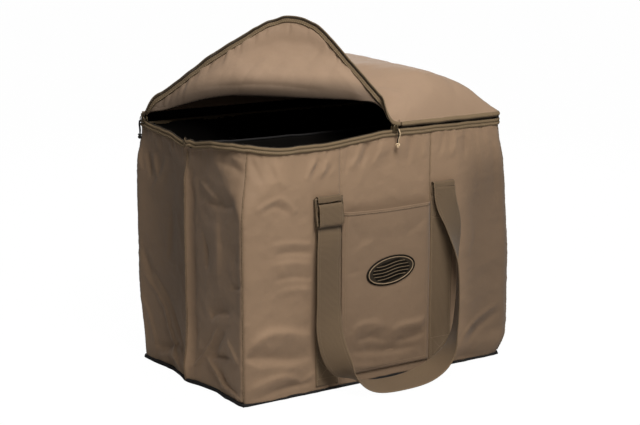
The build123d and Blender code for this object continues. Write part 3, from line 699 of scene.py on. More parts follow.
SHAPES = {s: wall_shape(s, 11 + 7 * i) for i, s in enumerate(("front", "right", "back", "left"))}


def slump(x, y, z):
    """The left end's foot wanders in and out, and the right front corner stands fuller."""
    low = (1 - smooth((z - 10) / 120)) * smooth((-x - 260) / 90)
    x = x + (6.5 * bell(y, -105, 42) + 6.0 * bell(y, 105, 45) - 10.0 * bell(y, 0, 30)) * low
    return x + 9.0 * smooth((x - 270) / 80) * smooth((z - 10) / 70) * (1 - smooth((z - 470) / 86)), y


def wall_points(side, start, stop, z0=9.4, du=3.9, dz=3.8, top=RIM_Z + 1.5):
    zz = np.linspace(z0, top, int((top - z0) / dz))
    lo, hi = span(side, zz)
    tl = lo if start is None else np.full(len(zz), float(start))
    tr = hi if stop is None else np.full(len(zz), float(stop))
    n = int((tr - tl).max() / du) + 2
    u = np.linspace(0, 1, n)
    if start == 0.0:
        u = u ** 1.45
    if stop == 0.0:
        u = 1 - (1 - u) ** 1.45
    TAU = tl[None] + (tr - tl)[None] * u[:, None]
    Z = np.broadcast_to(zz[None], TAU.shape).copy()
    a, o, na, no = on_side(side, TAU, Z)
    e = np.minimum(TAU - tl[None], tr[None] - TAU)
    k = SHAPES[side](a, Z, e)
    a, o = a + na * k, o + no * k
    x, y = world(side, a, o)
    zf = smooth((Z - 8) / 60) * (1 - smooth((Z - 300) / 230)) * smooth((-y - 90) / 110)
    x, y = x + 15.0 * smooth((x - 290) / 60) * zf, y + 27.0 * smooth((x - 212) / 125) * zf
    x, y = slump(x, y, Z)
    P = np.stack([x, y, Z - sag(x, y) * smooth((Z - 300) / (RIM_Z - 300)) + 1.8 * vnoise(TAU / 33, 0.0, 99) * (1 - smooth((Z - 4) / 40))], -1)
    nx, ny = world(side, na, no)
    N = normals(P, np.stack([nx, ny, np.zeros_like(nx)], -1))
    uv = np.stack([TAU, Z], -1) / 10
    # painted shade and light: lighter on bulges, darker in hollows and creases; also darker along the bottom 60 mm
    tone = np.clip(1 + 0.014 * k, 0.86, 1.1) * (0.93 + 0.07 * smooth(Z / 60))
    # painted shade: the right part of the front darker, as it turns away from the light
    tone = tone * (1 - 0.42 * smooth((x - 195) / 90) * (y < -150) * smooth((540 - Z) / 120))
    # painted shade and light: the left end darker overall, lighter towards the bottom where light comes off the floor
    if side == "left":
        tone = tone * (0.84 + 0.24 * (1 - smooth((Z - 40) / 210)))
    # painted light: the top of the front between the seams lighter, as lit from above
    if side == "front":
        tone = tone * (1 + 0.08 * smooth((Z - 400) / 110) * smooth((x + 330) / 60) * smooth((250 - x) / 80))
    return P, N, uv, tone


FLOOR_LINE = {"front": 4.6, "left": 8.6, "right": 7.0, "back": 6.0}
bag_thread = Piece("shell_stitching")
seams = {}
for name, side, start, stop in (
        ("front_panel_left", "front", None, -104.0), ("front_panel_center", "front", -104.0, 143.0),
        ("front_panel_right", "front", 143.0, None),
        ("back_panel_right", "back", None, -124.0), ("back_panel_center", "back", -124.0, 124.0),
        ("back_panel_left", "back", 124.0, None),
        ("left_end_rear", "left", None, 0.0), ("left_end_front", "left", 0.0, None),
        ("right_end_front", "right", None, 0.0), ("right_end_rear", "right", 0.0, None)):
    fine = 3.0 if side == "left" else 3.8
    P, N, uv, tone = wall_points(side, start, stop, FLOOR_LINE[side], du=fine, dz=fine)
    # painted shade: the left end's rear half darker in a band around 120 mm behind its middle
    if side == "left" and start is None:
        tone = tone * (0.86 + 0.14 * smooth((np.abs(P[..., 1] - 120) - 60) / 80))
    pc = Piece(name + "_cloth")
    # inner faces and cut edges take the lining's painted shade; the dark edges also deepen the seam lines
    thick_sheet(pc, P, N, WALL, "shell", inner="lining", edge="lining", uv=uv, tone=tone)
    if name == "front_panel_right":
        tube(pc, P[0, 2:-1] + N[0, 2:-1] * 0.7, 1.15, "piping", 7, tone=1.3)
    pc.done("bag", [name])
    seams[name] = (P, N)
    for i, on in ((1, start is not None and start != 0.0), (-2, stop is not None and stop != 0.0)):
        if on:
            stitches(bag_thread, P[i, 1:-2], N[i, 1:-2], tone=0.75)
    stitches(bag_thread, P[1:-1, -3], N[1:-1, -3], tone=0.8)

# corner piping and the piping down the raised end seams
for c, name, s0, s1 in (("fl", "front_left", "left_end_front", "front_panel_left"),
                        ("fr", "front_right", "front_panel_right", "right_end_front"),
                        ("br", "back_right", "right_end_rear", "back_panel_right"),
                        ("bl", "back_left", "back_panel_left", "left_end_rear")):
    A, NA = seams[s0]
    B, NB = seams[s1]
    k = min(A.shape[1], B.shape[1])
    za = np.linspace(0, A.shape[1] - 1, k).astype(int)
    zb = np.linspace(0, B.shape[1] - 1, k).astype(int)
    P = (A[-1, za] + B[0, zb]) / 2
    nn = unit(NA[-1, za] + NB[0, zb])
    P = P + nn * 0.3
    P[:, 0] += 0.5 * vnoise(P[:, 2] / 14, 0.0, 5)
    pc = Piece("corner_piping_%s_cord" % name)
    tube(pc, P[2:-1], 1.5, "piping", 8)
    stitches(pc, P[2:-1] + nn[2:-1] * 1.3, nn[2:-1], spacing=7.5, length=3.0, r=0.35, tone=0.75)
    pc.done("bag", ["corner_piping_" + name])
for s, name, ref in ((-1, "left", "left_end_front"), (1, "right", "right_end_rear")):
    A, NA = seams[ref]
    P = A[0].copy()
    k = P[:, 2] < 528
    P = P[k] + np.array([s, 0, 0]) * 0.8
    P[:, 1] += 1.2 * vnoise(P[:, 2] / 40, 0.0, 8)
    pc = Piece("ridge_piping_%s_cord" % name)
    tube(pc, P, 2.1, "piping", 8)
    stitches(pc, P + np.array([s, 0, 0]) * 1.9, np.tile([s, 0.0, 0], (len(P), 1)), spacing=7.0, length=3.0, r=0.35, tone=0.8)
    pc.done("bag", ["ridge_piping_" + name])

# ---- base ------------------------------------------------------------------------------------------------
def low_path(step=5.0):
    C, N, S = [], [], []
    for side in ("front", "right", "back", "left"):
        lo, hi = span(side, np.array(5.0))
        n = max(4, int((hi - lo) / step))
        tau = lo + (hi - lo) * np.arange(n) / n
        a, o, na, no = on_side(side, tau, np.full(n, 5.0))
        C.append(np.stack(world(side, a, o), 1))
        N.append(np.stack(world(side, na, no), 1))
        S += [FLOOR_LINE[side]] * n
    return np.concatenate(C), unit(np.concatenate(N)), np.array(S)


C, N, S = low_path()
S = np.convolve(np.r_[S[-4:], S, S[:4]], np.ones(9) / 9, "valid")
s = np.arange(len(C)) * 5.0
wob = vnoise(s / 26, 0.0, 3)
pc = Piece("base_binding_tape")
prof = np.array([(2.8, 0.6), (3.8, 0.25), (4.0, 0.5), (4.1, 0.78), (3.3, 1.0), (0.5, 1.05), (-2.0, 0.95), (-4.5, 0.6), (-4.5, 0.08), (0.0, 0.0)])
V = np.empty((len(C), len(prof), 3))
hgt = S + 1.2 + 1.0 * vnoise(s / 17, 1.0, 4)
out = prof[None, :, 0] + (1.5 * wob)[:, None] * (prof[None, :, 1] > 0.05)
V[..., 0] = C[:, None, 0] + N[:, None, 0] * out
V[..., 1] = C[:, None, 1] + N[:, None, 1] * out
V[..., 2] = prof[None, :, 1] * hgt[:, None]
V[..., 0], V[..., 1] = slump(V[..., 0], V[..., 1], 5.0 + 0 * V[..., 2])
F = []
k = len(prof)
for i in range(len(C)):
    j = (i + 1) % len(C)
    for a in range(k):
        b = (a + 1) % k
        F.append((i * k + a, j * k + a, j * k + b, i * k + b))
uv = np.stack(np.meshgrid(s / 10, np.arange(k) * 0.3, indexing="ij"), -1).reshape(-1, 2)
pc.add(V.reshape(-1, 3), F, "binding", uv=uv)
pc.done("bag", ["base_binding"])

gx, gy = np.linspace(-352.6, 352.6, 90), np.linspace(-222.8, 222.8, 60)
X, Y = np.meshgrid(gx, gy, indexing="ij")
r = 1 - 0.0
Zb = 5.0 + 0.35 * fbm(X / 40, Y / 40, 71)
P = np.stack([slump(X, Y, Zb)[0], Y, Zb], -1)
for i, j, sx, sy in ((0, 0, 1, 1), (-1, 0, -1, 1), (0, -1, 1, -1), (-1, -1, -1, -1)):
    P[i, j, 0] -= sx * 2
    P[i, j, 1] -= sy * 2
pc = Piece("base_panel_board")
# the board's top face, inside the bag, is divider cloth in painted shade
thick_sheet(pc, P, normals(P, np.array([0, 0, 1.0])), 4.6, "divider", inner="binding")
pc.done("bag", ["base_panel"])

# ---- compartments ---------------------------------------------------------------------------------------------
def divider(name, axis, c, lo, hi, top, seed, nodes):
    u, z = np.linspace(lo, hi, int((hi - lo) / 7)), np.linspace(6.5, top, 70)
    U, Z = np.meshgrid(u, z, indexing="ij")
    e = np.minimum(U - lo, hi - U)
    k = (2.6 * fbm(U / 110, Z / 140, seed) + 1.2 * ridged(U / 60, Z / 50, seed + 2)) * smooth(e / 30) * smooth(Z / 50)
    k = k * (1 if axis == "x" else smooth(e / 25))
    zz = Z - 5.0 * np.sin(math.pi * (U - lo) / (hi - lo)) * smooth((Z - 380) / 150) + 0.8 * vnoise(U / 30, 0.0, seed + 4) * smooth((Z - 500) / 40)
    P = np.stack([U, c + k, zz], -1) if axis == "x" else np.stack([c + k, U, zz], -1)
    N = normals(P, np.array([0, 1.0, 0]) if axis == "x" else np.array([1.0, 0, 0]))
    pc = Piece(name)
    thick_sheet(pc, P + N * 1.25, N, 2.5, "divider")
    pc.done("bag", nodes)
    return P[:, -1]


edges = [divider("divider_long_cloth", "x", 0.0, -348.6, 348.6, 541.0, 41, ["divider_long"])]
for sx, a in ((-1, "left"), (1, "right")):
    for sy, b in ((-1, "front"), (1, "rear")):
        lo, hi = sorted((sy * 2.6, sy * 218.6))
        edges.append(divider("divider_%s_%s_cloth" % (b, a), "y", sx * 118.0, lo, hi, 506.0, 50 + 3 * sx + sy, ["divider_%s_%s" % (b, a)]))
pc = Piece("divider_binding_tape")
for e in edges:
    tube(pc, e + np.array([0, 0, 0.6]), 2.7, "binding", 8, flat=(1.0, 1.0))
pc.done("bag", ["divider_bindings"])

# ---- pocket ---------------------------------------------------------------------------------------------------------
MOUTH, FOOT = -HY - 9.0, -HY - 0.4


def pocket_face(z):
    return FOOT - 2.5 + (MOUTH - FOOT) * (z - 30) / 368.0


def pocket_points(x0, x1, z0, z1, du=4.2, lift=0.0):
    x, z = np.linspace(x0, x1, int((x1 - x0) / du) + 2), np.linspace(z0, z1, int(abs(z1 - z0) / du) + 2)
    X, Z = np.meshgrid(x, z, indexing="ij")
    e = np.minimum(X + 100.5, 141.0 - X)
    f = Z - 30
    k = strokes(X, Z, POCKET_FOLDS)
    k = k + 1.0 * fbm(X / 90, Z / 110, 91) + 0.8 * ridged(X / 60 + Z / 140, Z / 50, 93) + 0.3 * fbm(X / 14, Z / 16, 95, 2)
    k = k + 3.0 * np.sin(math.pi * np.clip((Z - 30) / 368, 0, 1)) * (1 - ((X - 20) / 122) ** 2)
    k = k + 2.5 * np.sin(math.pi * np.clip((Z - 330) / 90, 0, 1)) * bell(X, 40, 60)
    flat = 1 - 0.7 * np.exp(-(((X - 28) / 78) ** 2 + ((Z - 254) / 42) ** 2) ** 2)
    k = k * (1 - np.exp(-(e / 13) ** 2)) * smooth(f / 12 + 0.1) * flat
    k = k + 0.5 * np.exp(-(e / 13) ** 2) * vnoise(e / 9, Z / 6.5, 97) - 1.0 * np.exp(-(e / 4.0) ** 2)
    edge = 1 - smooth(e / 14.0)
    y = pocket_face(Z) - k - lift
    y = y + edge * (-228.6 - pocket_face(Z)) * 0.75
    dz = -3.5 * np.sin(math.pi * (X + 100) / 241) * smooth((Z - 250) / 148) + 1.5 * smooth((X - 60) / 80) * -smooth((Z - 300) / 98)
    P = np.stack([X, y, Z + dz], -1)
    # the returned tone is painted shade and light: lighter on bulges, darker in hollows
    return P, normals(P, np.array([0, -1.0, 0])), np.stack([X, Z], -1) / 10, np.clip(1 + 0.012 * k, 0.88, 1.1)


P, N, uv, tone = pocket_points(-101.0, 141.3, 27, 398)
pc = Piece("front_pocket_cloth")
thick_sheet(pc, P, N, 2.2, "shell", inner="lining", uv=uv, tone=tone * 0.83)
pc.done("bag", ["front_pocket"])
for i in (2, -3):
    stitches(bag_thread, P[i, 1:-1], N[i, 1:-1], tone=0.72)
stitches(bag_thread, P[1:-1, 2], N[1:-1, 2], tone=0.72)
P, N, uv, tone = pocket_points(-101.0, 141.3, 391.5, 399.5, du=1.4, lift=0.2)
roll = np.array([0.1, 0.6, 0.9, 0.8, 0.7, 1.0, 1.5, 0.6][:P.shape[1]] + [1.4] * max(0, P.shape[1] - 8))
P = P + N * roll[None, :P.shape[1], None] * (1 + 0.15 * vnoise(P[..., 0] / 12, 0.0, 33))[..., None]
pc = Piece("pocket_hem_fold")
# painted shade: the hem's roll darker towards its lower edge, where it turns under
thick_sheet(pc, P, N, 2.0, "shell", uv=uv, tone=tone * np.linspace(0.62, 0.95, P.shape[1])[None])
stitches(pc, P[1:-1, 2], N[1:-1, 2], tone=0.72)
pc.done("bag", ["pocket_hem"])

# ---- oval patch -----------------------------------------------------------------------------------------------------------
def patch_surface(X, Z):
    """The pocket's face in the plain area under the patch."""
    e = np.minimum(X + 100.5, 141.0 - X)
    k = strokes(X, Z, POCKET_FOLDS) + 1.0 * fbm(X / 90, Z / 110, 91) + 0.8 * ridged(X / 60 + Z / 140, Z / 50, 93)
    k = k + 3.0 * np.sin(math.pi * np.clip((Z - 30) / 368, 0, 1)) * (1 - ((X - 20) / 122) ** 2)
    flat = 1 - 0.7 * np.exp(-(((X - 28) / 78) ** 2 + ((Z - 254) / 42) ** 2) ** 2)
    return pocket_face(Z) - k * flat * (1 - np.exp(-(e / 13) ** 2))


q = np.linspace(0, 2 * math.pi, 97)[:-1]
ca, sa = math.cos(math.radians(6)), math.sin(math.radians(6))


def oval(a, b, off):
    u, v = a * np.cos(q), b * np.sin(q)
    x, z = 28 + u * ca - v * sa, 254 + u * sa + v * ca
    z = z - 3.5 * np.sin(math.pi * (x + 100) / 241) * smooth((z - 250) / 148) * 0
    return np.stack([x, patch_surface(x, z) - off, z], 1)


pc = Piece("oval_patch_felt")
rings = [oval(67, 33, 0.0), oval(67.5, 33.5, 1.2), oval(66.5, 32.5, 2.0), oval(60, 27, 2.1), oval(45, 20, 2.3), oval(28, 12, 2.4), oval(12, 5, 2.5)]
V = np.concatenate(rings + [oval(0.01, 0.01, 2.5)[:1], oval(0.01, 0.01, -0.4)[:1]])
F = []
n = len(q)
for a in range(len(rings) - 1):
    for i in range(n):
        j = (i + 1) % n
        F.append((a * n + i, a * n + j, (a + 1) * n + j, (a + 1) * n + i))
for i in range(n):
    j = (i + 1) % n
    F.append(((len(rings) - 1) * n + i, (len(rings) - 1) * n + j, len(rings) * n))
    F.append((j, i, len(rings) * n + 1))
uv = np.stack([V[:, 0], V[:, 2]], 1) / 10
pc.add(V, F, "patch", uv=uv)
# satin-stitched border: a thick cord of thread, and a thin raised line inside it
loop = oval(64.5, 30.8, 1.9)
lobes = 1.9 + 0.28 * np.cos(np.arange(n * 4) * math.pi)
big = catmull(np.vstack([loop, loop[:1]]), 4)[:-1]
tube(pc, big, 1.35 + 0.2 * np.where(np.arange(len(big)) % 2, 1, -1), "patch_edge", 8, closed=True)
loop = catmull(np.vstack([oval(61, 28.4, 2.1), oval(61, 28.4, 2.1)[:1]]), 2)[:-1]
tube(pc, loop, 1.15, "thread", 6, closed=True, tone=0.72)
# a plain field of parallel satin stitches in the middle
for k in range(-11, 12):
    w = 50 * math.sqrt(max(0.05, 1 - (k / 12.5) ** 2))
    v = k * 1.9
    us = np.linspace(-w, w, 34)
    vs = v + 1.5 * np.sin(us / 12.0)
    xs, zs = 28 + us * ca - vs * sa, 254 + us * sa + vs * ca
    tube(pc, np.stack([xs, patch_surface(xs, zs) - 2.7, zs], 1), 0.75, "thread" if k % 4 == 0 else "patch_edge", 5, tone=0.5 if k % 4 == 0 else 0.9)
pc.done("bag", ["oval_patch"])

# ---- webbing sewn to the front and back, anchors, straps ----------------------------------------------------------------------
STRAP_L, STRAP_R, PIVOT_Y, PIVOT_Z = -139.0, 175.0, -231.8, 436.0


def turned(V):
    return V * np.array([-1.0, -1.0, 1.0])


def across_profile(n=15):
    """Places across webbing from -1 to 1 and how proud the selvedges are."""
    u = np.linspace(-1, 1, n)
    u = np.sign(u) * np.abs(u) ** 0.8
    return u, 0.35 * np.exp(-((1 - np.abs(u)) / 0.06) ** 2)


def webbing_tone(u, n):
    t = 1 + 0.22 * np.exp(-((1 - np.abs(u)) / 0.07) ** 2) - 0.10 * np.exp(-((0.84 - np.abs(u)) / 0.05) ** 2)
    return np.repeat(t[:, None], n, 1)


def sewn(x, side, seed):
    u, proud = across_profile(17)
    z = np.linspace(14, 418, 100)
    U, Z = np.meshgrid(u, z, indexing="ij")
    X = x + 29 * U + 0.5 * vnoise(Z / 60, 0.0, seed)
    sh = SHAPES[side]
    seam = -104.0 if x < 0 else 143.0
    if side == "back":
        seam = -124.0 if x < 0 else 124.0
    e = np.abs(X - seam)
    k = sh(X, Z, e)
    y = -(HY + np.maximum(k, -1.0)) - 2.1 - proud[:, None] - 0.2
    return np.stack([X, y, Z], -1), u


# one route for the webbing as it runs through the ladder lock, then down the strap
THROUGH = [((-140.5, -233.4, 384), (1, 0, 0)), ((-140, -232.6, 395), (1, 0, 0)), ((-139.5, -232.4, 411), (1, 0, 0)),
           ((-139.2, -233.6, 420.5), (1, 0, 0)), ((-139, -237.6, 424.6), (1, 0, 0)), ((-139, -241.2, 421.5), (1, 0, 0)),
           ((-139, -242.6, 412), (1, 0, 0)), ((-139.2, -243.4, 398), (1, 0, 0)), ((-139.5, -244.3, 386), (1, 0, 0)),
           ((-139.8, -243.6, 378), (1, 0, 0))]
STRAP = [((-140, -237.6, 372.5), (1, 0, 0)), ((-140.6, -238.4, 362), (1, 0, 0)), ((-142, -241.0, 350), (1, 0, 0)), ((-146, -244, 312), (1, 0, 0)),
         ((-149, -248, 214), (1, -.03, 0)), ((-151, -257, 137), (.95, -.3, 0)), ((-138, -271, 77), (.72, -.65, -.15)),
         ((-112, -286, 40), (.36, -.9, -.25)), ((-67, -297, 17), (.05, -.97, -.25)), ((8, -300, 12), (0, -.97, -.23)),
         ((83, -295, 19), (-.02, -.96, -.28)), ((143, -284, 43), (-.2, -.94, -.2)), ((181, -272, 87), (-.42, -.88, 0)),
         ((199, -262, 164), (-.5, -.84, 0)), ((204, -254, 256), (-.6, -.77, 0)), ((197, -245, 338), (-.93, -.3, 0)),
         ((182, -240.5, 384), (-1, -.04, 0)), ((176, -238.6, 410), (-1, 0, 0)), ((175.6, -237.4, 428), (-1, 0, 0))]


def strap_mesh(name, back, nodes, body, seed):
    pts, wid = catmull([p for p, _ in THROUGH + STRAP], 7), catmull([w for _, w in THROUGH + STRAP], 7)
    P0, W0 = resample(pts, 4.0, (wid,))
    T = unit(np.gradient(P0, axis=0))
    W0 = unit(W0 - T * (W0 * T).sum(1)[:, None])
    K = np.cross(T, W0)
    s = np.arange(len(P0)) * 4.0
    u, proud = across_profile(15)
    half = 29.5
    cup = (1.6 * np.sin(s / 90.0) + 1.0 * vnoise(s / 40, 0.0, seed)) * smooth((s - 90) / 60) * smooth((s[-1] - s - 20) / 60)
    G = P0[None] + W0[None] * (half * u)[:, None, None] + K[None] * (cup[None] * (1 - u[:, None] ** 2))[..., None]
    N = normals(G, K[None])
    G = G + N * (1.1 + proud[:, None, None])
    G[..., 2] = np.maximum(G[..., 2], 1.0)
    if back:
        G, N = turned(G), turned(N)
    uv = np.stack([np.broadcast_to((u * half)[:, None], G.shape[:2]), np.broadcast_to(s[None], G.shape[:2])], -1) / 10
    pc = Piece(name)
    tone = webbing_tone(u, len(s)) * (1 + 0.05 * vnoise(s / 55, 0.0, seed + 3))[None]
    # painted shadow: a dark line across the strap where it comes out under the ladder lock's lower bar; painted light:
    # the strap lighter over its lowest 60 mm, near the floor
    under = np.linalg.norm(P0 - np.array([-140, -238.6, 372.0]), axis=1)
    low = np.clip((60 - P0[:, 2]) / 60, 0, 1)
    tone = tone * (1 - 0.62 * np.exp(-(under / 5.0) ** 2) * (s > 60) + 0.22 * low)[None]
    thick_sheet(pc, G, N, 2.2, "webbing", uv=uv, tone=tone)
    for i in (2, -3):
        stitches(pc, G[i, 3:-3], N[i, 3:-3], spacing=5.5, length=2.6, r=0.3, tone=0.66)
    return pc.done(body, nodes)


def anchor_mesh(name, x, back, node):
    a = np.radians(np.arange(0, 181, 12.0))
    ro = 5.9
    ring = np.stack([PIVOT_Y + ro * np.cos(a), PIVOT_Z + ro * np.sin(a)], 1)
    leg = np.array([(PIVOT_Y + ro + 0.2, z) for z in (410, 416, 422, 428, 432)])
    front = np.array([(PIVOT_Y - ro - 0.3, z) for z in (433, 430.5, 428.5)])
    path = np.vstack([leg, ring, front])
    u, proud = across_profile(15)
    P = np.empty((len(u), len(path), 3))
    P[..., 0] = x + 29.5 * u[:, None] + 0.6 * vnoise(np.arange(len(path)) / 3.0, 0.0, int(x) & 7)[None]
    P[..., 1] = path[None, :, 0]
    P[..., 2] = path[None, :, 1] + (0.8 * vnoise(u * 2, 1.0, 6))[:, None]
    c = np.array([x, PIVOT_Y, PIVOT_Z])
    N = normals(P, None)
    if (N[7, 12] * (P[7, 12] - c)).sum() < 0:
        N = -N
    P = P + N * proud[:, None, None]
    if back:
        P, N = turned(P), turned(N)
    pc = Piece(name)
    thick_sheet(pc, P, N, 2.3, "webbing", tone=webbing_tone(u, len(path)) * 1.05)
    pc.done("bag", [node])


def ladder_lock(name, body, back, node):
    d = unit(np.array([0, -8.0, -62.0]))
    ax = np.array([[1.0, 0, 0], np.cross(d, [1.0, 0, 0]), d])
    c0 = np.array([STRAP_L, PIVOT_Y, PIVOT_Z])
    w = 31.6
    sg = turned if back else (lambda v: v)
    A = ax * (np.array([-1.0, -1.0, 1.0]) if back else 1.0)
    pc = Piece(name)
    for s in (-1, 1):
        block(pc, sg(c0 + d * 27.5 + np.array([s * (w + 2.5), 0, 0])), (5, 5.6, 62), "plastic", A, 1.6)
        for k in range(7):
            block(pc, sg(c0 + d * (14 + 6 * k) + np.array([s * (w + 4.6), -0.3, 0])), (1.5, 4.2, 2.6), "plastic", A, 0.6, tone=0.92)
    for dist, h, t, tn in ((32.0, 6.2, 3.6, 0.9), (55.5, 5.4, 5.4, 1.0)):
        block(pc, sg(c0 + d * dist), (2 * w + 2, t, h), "plastic", A, 1.5, tone=tn)
    xs = np.linspace(-w - 3, w + 3, 24)
    tube(pc, sg(np.stack([STRAP_L + xs, np.full(24, PIVOT_Y), np.full(24, PIVOT_Z)], 1)), 2.7, "plastic", 10)
    # grip ridges on the lower bar
    for k in range(-8, 9):
        block(pc, sg(c0 + d * 58.2 + np.array([k * 3.4, -1.4, 0])), (1.5, 3.4, 2.0), "plastic", A, 0.5, tone=1.08)
    pc.done(body, [node])


for back, tag in ((False, "front"), (True, "back")):
    for x, nm in ((STRAP_L, "left"), (STRAP_R, "right")):
        P, u = sewn(x, tag, 3 if x < 0 else 9)
        N = normals(P, np.array([0, -1.0, 0]))
        if back:
            P, N = turned(P), turned(N)
        pc = Piece("%s_webbing_%s_strip" % (tag, nm))
        z = np.linspace(14, 418, 100)
        uv = np.stack([np.broadcast_to((u * 29)[:, None], P.shape[:2]), np.broadcast_to(z[None], P.shape[:2])], -1) / 10
        thick_sheet(pc, P, N, 2.1, "webbing", uv=uv, tone=webbing_tone(u, 100) * 1.12)
        for i in (1, -2):
            stitches(pc, P[i, 1:-1], N[i, 1:-1], spacing=4.8, tone=0.72)
        # box-and-cross stitching at the top and the foot
        for j0, j1 in ((84, 96), (4, 15)):
            for line in ([(2, j) for j in range(j0, j1)], [(14, j) for j in range(j0, j1)], [(i, j0) for i in range(2, 15)],
                         [(i, j1) for i in range(2, 15)], [(2 + k, j0 + int(k * (j1 - j0) / 12)) for k in range(13)],
                         [(14 - k, j0 + int(k * (j1 - j0) / 12)) for k in range(13)]):
                ii, jj = np.array(line).T
                stitches(pc, P[ii, jj], N[ii, jj], spacing=3.8, length=2.6, tone=0.7)
        pc.done("bag", ["%s_webbing_%s" % (tag, nm)])
        anchor_mesh("%s_anchor_%s_loop" % (tag, nm), x, back, "%s_anchor_%s" % (tag, nm))
    strap_mesh("%s_strap_webbing" % tag, back, ["%s_strap_left" % tag, "%s_strap_bottom" % tag, "%s_strap_right" % tag],
               "%s_strap" % tag, 61 if back else 60)
    ladder_lock("%s_strap_ladder_lock" % tag, "%s_strap" % tag, back, "%s_strap_adjuster" % tag)

# ---- rim and its half of the zip -----------------------------------------------------------------------------------------------------
C, N = rim_path(4.0)
s = np.arange(len(C)) * 4.0
x, y = C[:, 0], C[:, 1]
on_left = (x < -345) | ((x < -300) & (y > -200))
pinch = bell(y, -9, 13) * (x < -340)
dn = 0.9 * vnoise(s / 22, 0.0, 7) + 0.4 * vnoise(s / 7, 0.0, 8) + 6.0 * pinch
dz = -sag(x, y) + 0.8 * vnoise(s / 30, 3.0, 9) + 6.0 * bell(y, -19, 12) * (x < -340)
pc = Piece("rim_zip_tape_welts")
prof = [(-1.6, 554.5), (1.8, 554.6), (3.4, 556.4), (4.0, 559.0), (3.2, 561.8), (1.7, 562.9), (3.0, 564.0), (3.7, 566.2), (3.2, 568.6),
        (1.8, 570.0), (-0.2, 570.2), (-1.6, 569.2), (-2.0, 563.0), (-2.2, 557.0)]
# painted highlight and shade: the welts' crowns lighter, the groove between them and the inner side darker
sweep(pc, C, N, prof, "tape", closed=True, dn=dn, dz=dz, tone=[1, .8, 1.05, 1.15, 1.0, .55, 1.0, 1.2, 1.1, .9, .8, .8, .7, .8])
P = np.stack([x + N[:, 0] * (4.0 + dn), y + N[:, 1] * (4.0 + dn), 559.5 + dz], 1)
stitches(pc, P, np.c_[N, np.zeros(len(N))], spacing=4.8, tone=0.8)
pc.done("bag", ["rim_zip_tape"])


def coil(piece, C, N, off, z0, dn, dz, mat="coil", pitch=3.0, post=None):
    D = np.stack([C[:, 0], C[:, 1], np.zeros(len(C))], 1)
    E = np.stack([N[:, 0], N[:, 1], dn, dz], 1)
    D, E = resample(D, pitch / 8, (E,))
    ph = np.arange(len(D)) * 2 * math.pi / 8
    nn = unit(E[:, :2])
    r = off + E[:, 2] + 1.25 * np.cos(ph)
    V = np.stack([D[:, 0] + nn[:, 0] * r, D[:, 1] + nn[:, 1] * r, z0 + E[:, 3] + 0.85 * np.sin(ph)], 1)
    if post is not None:
        V = post(V)
    tube(piece, V, 0.42, mat, 4)


zu = ~((y > 190) & (x > -352))
i0 = np.where(~zu)[0]
order = np.r_[i0.max() + 1:len(C), 0:i0.min()]
pc = Piece("rim_zip_coil_teeth")
coil(pc, C[order], N[order], 0.5, 571.0, dn[order], dz[order])
sweep(pc, C[order], N[order], [(-0.9, 569.6), (1.9, 569.6), (1.9, 570.5), (-0.9, 570.5)], "coil", dn=dn[order], dz=dz[order])
pc.done("bag", ["rim_zip_coil"])
pc = Piece("zip_stop_clips")
for cx, cy, ln in ((355.5, 196, 7), (-355.5, 209.5, 5)):
    block(pc, (cx, cy, 571.4), (3.2, ln, 2.6), "metal", None, 0.7)
    block(pc, (cx, cy - ln * 0.28, 572.5), (2.6, 1.2, 1.0), "metal", None, 0.3)
    block(pc, (cx, cy + ln * 0.28, 572.5), (2.6, 1.2, 1.0), "metal", None, 0.3)
pc.done("bag", ["zip_stops"])

# ---- lid and folded corner: one cloth ------------------------------------------------------------------------------------------------------
FOLD_A, FOLD_B, FOLD_Z, OPEN = np.array([57.0, -224.0]), np.array([-351.0, 213.0]), 589.0, math.radians(124)
fold_len = float(np.linalg.norm(FOLD_B - FOLD_A))
fd = (FOLD_B - FOLD_A) / fold_len
ahead = np.array([-fd[1], fd[0]])
ahead = -ahead if ahead[0] > 0 else ahead
behind = -ahead
fold3, O3 = np.array([fd[0], fd[1], 0.0]), np.array([FOLD_A[0], FOLD_A[1], FOLD_Z])


def dome(x, y):
    u, v = np.minimum(np.abs(x) / HX, 1), np.minimum(np.abs(y) / HY, 1)
    d = (x - FOLD_A[0]) * behind[0] + (y - FOLD_A[1]) * behind[1]
    return 583.5 + 123.0 * (1 - u ** 3.47) * (1 - v ** 9) * (1 - 0.10 * x / 710 + 0.16 * y / 450) * (0.6 + 0.4 * smooth(d / 160))


def fold_point(s):
    return FOLD_A[None] + fd[None] * fold_len * np.atleast_1d(s)[:, None]


def crest_radius(s):
    return np.maximum(2.0, 42.0 * smooth(s / 0.13 + 0.05) * smooth((1 - s) / 0.36))


def fold_share(s):
    """How much of the fold each place along it takes up: all of it but near its two ends."""
    return smooth(s / 0.085) * smooth((1 - s) / 0.07)


def turn(V):
    """Lifts places laid out closed to where the folded corner stands."""
    sh = V.shape
    v = V.reshape(-1, 3) - O3
    al = v @ fold3
    q = al / fold_len
    rad = v[:, 0] * ahead[0] + v[:, 1] * ahead[1]
    pull_in = rad * (-0.045 * bell(q, 0.60, 0.075) + 0.035 * bell(q, 0.79, 0.06)) * smooth((rad - 60) / 80)
    v = v + np.stack([ahead[0] * pull_in, ahead[1] * pull_in, 0 * pull_in], 1)
    angle = OPEN * fold_share(al / fold_len)
    c, sn = np.cos(angle)[:, None], np.sin(angle)[:, None]
    w = v * c + np.cross(fold3[None], v) * sn + fold3[None] * al[:, None] * (1 - c)
    return (w + O3).reshape(sh)


def blended(ob):
    """Bakes a lid or folded-corner piece's transform into its mesh and reads out its vertex places."""
    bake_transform(ob)
    co = np.empty(len(ob.data.vertices) * 3, np.float32)
    ob.data.vertices.foreach_get("co", co)


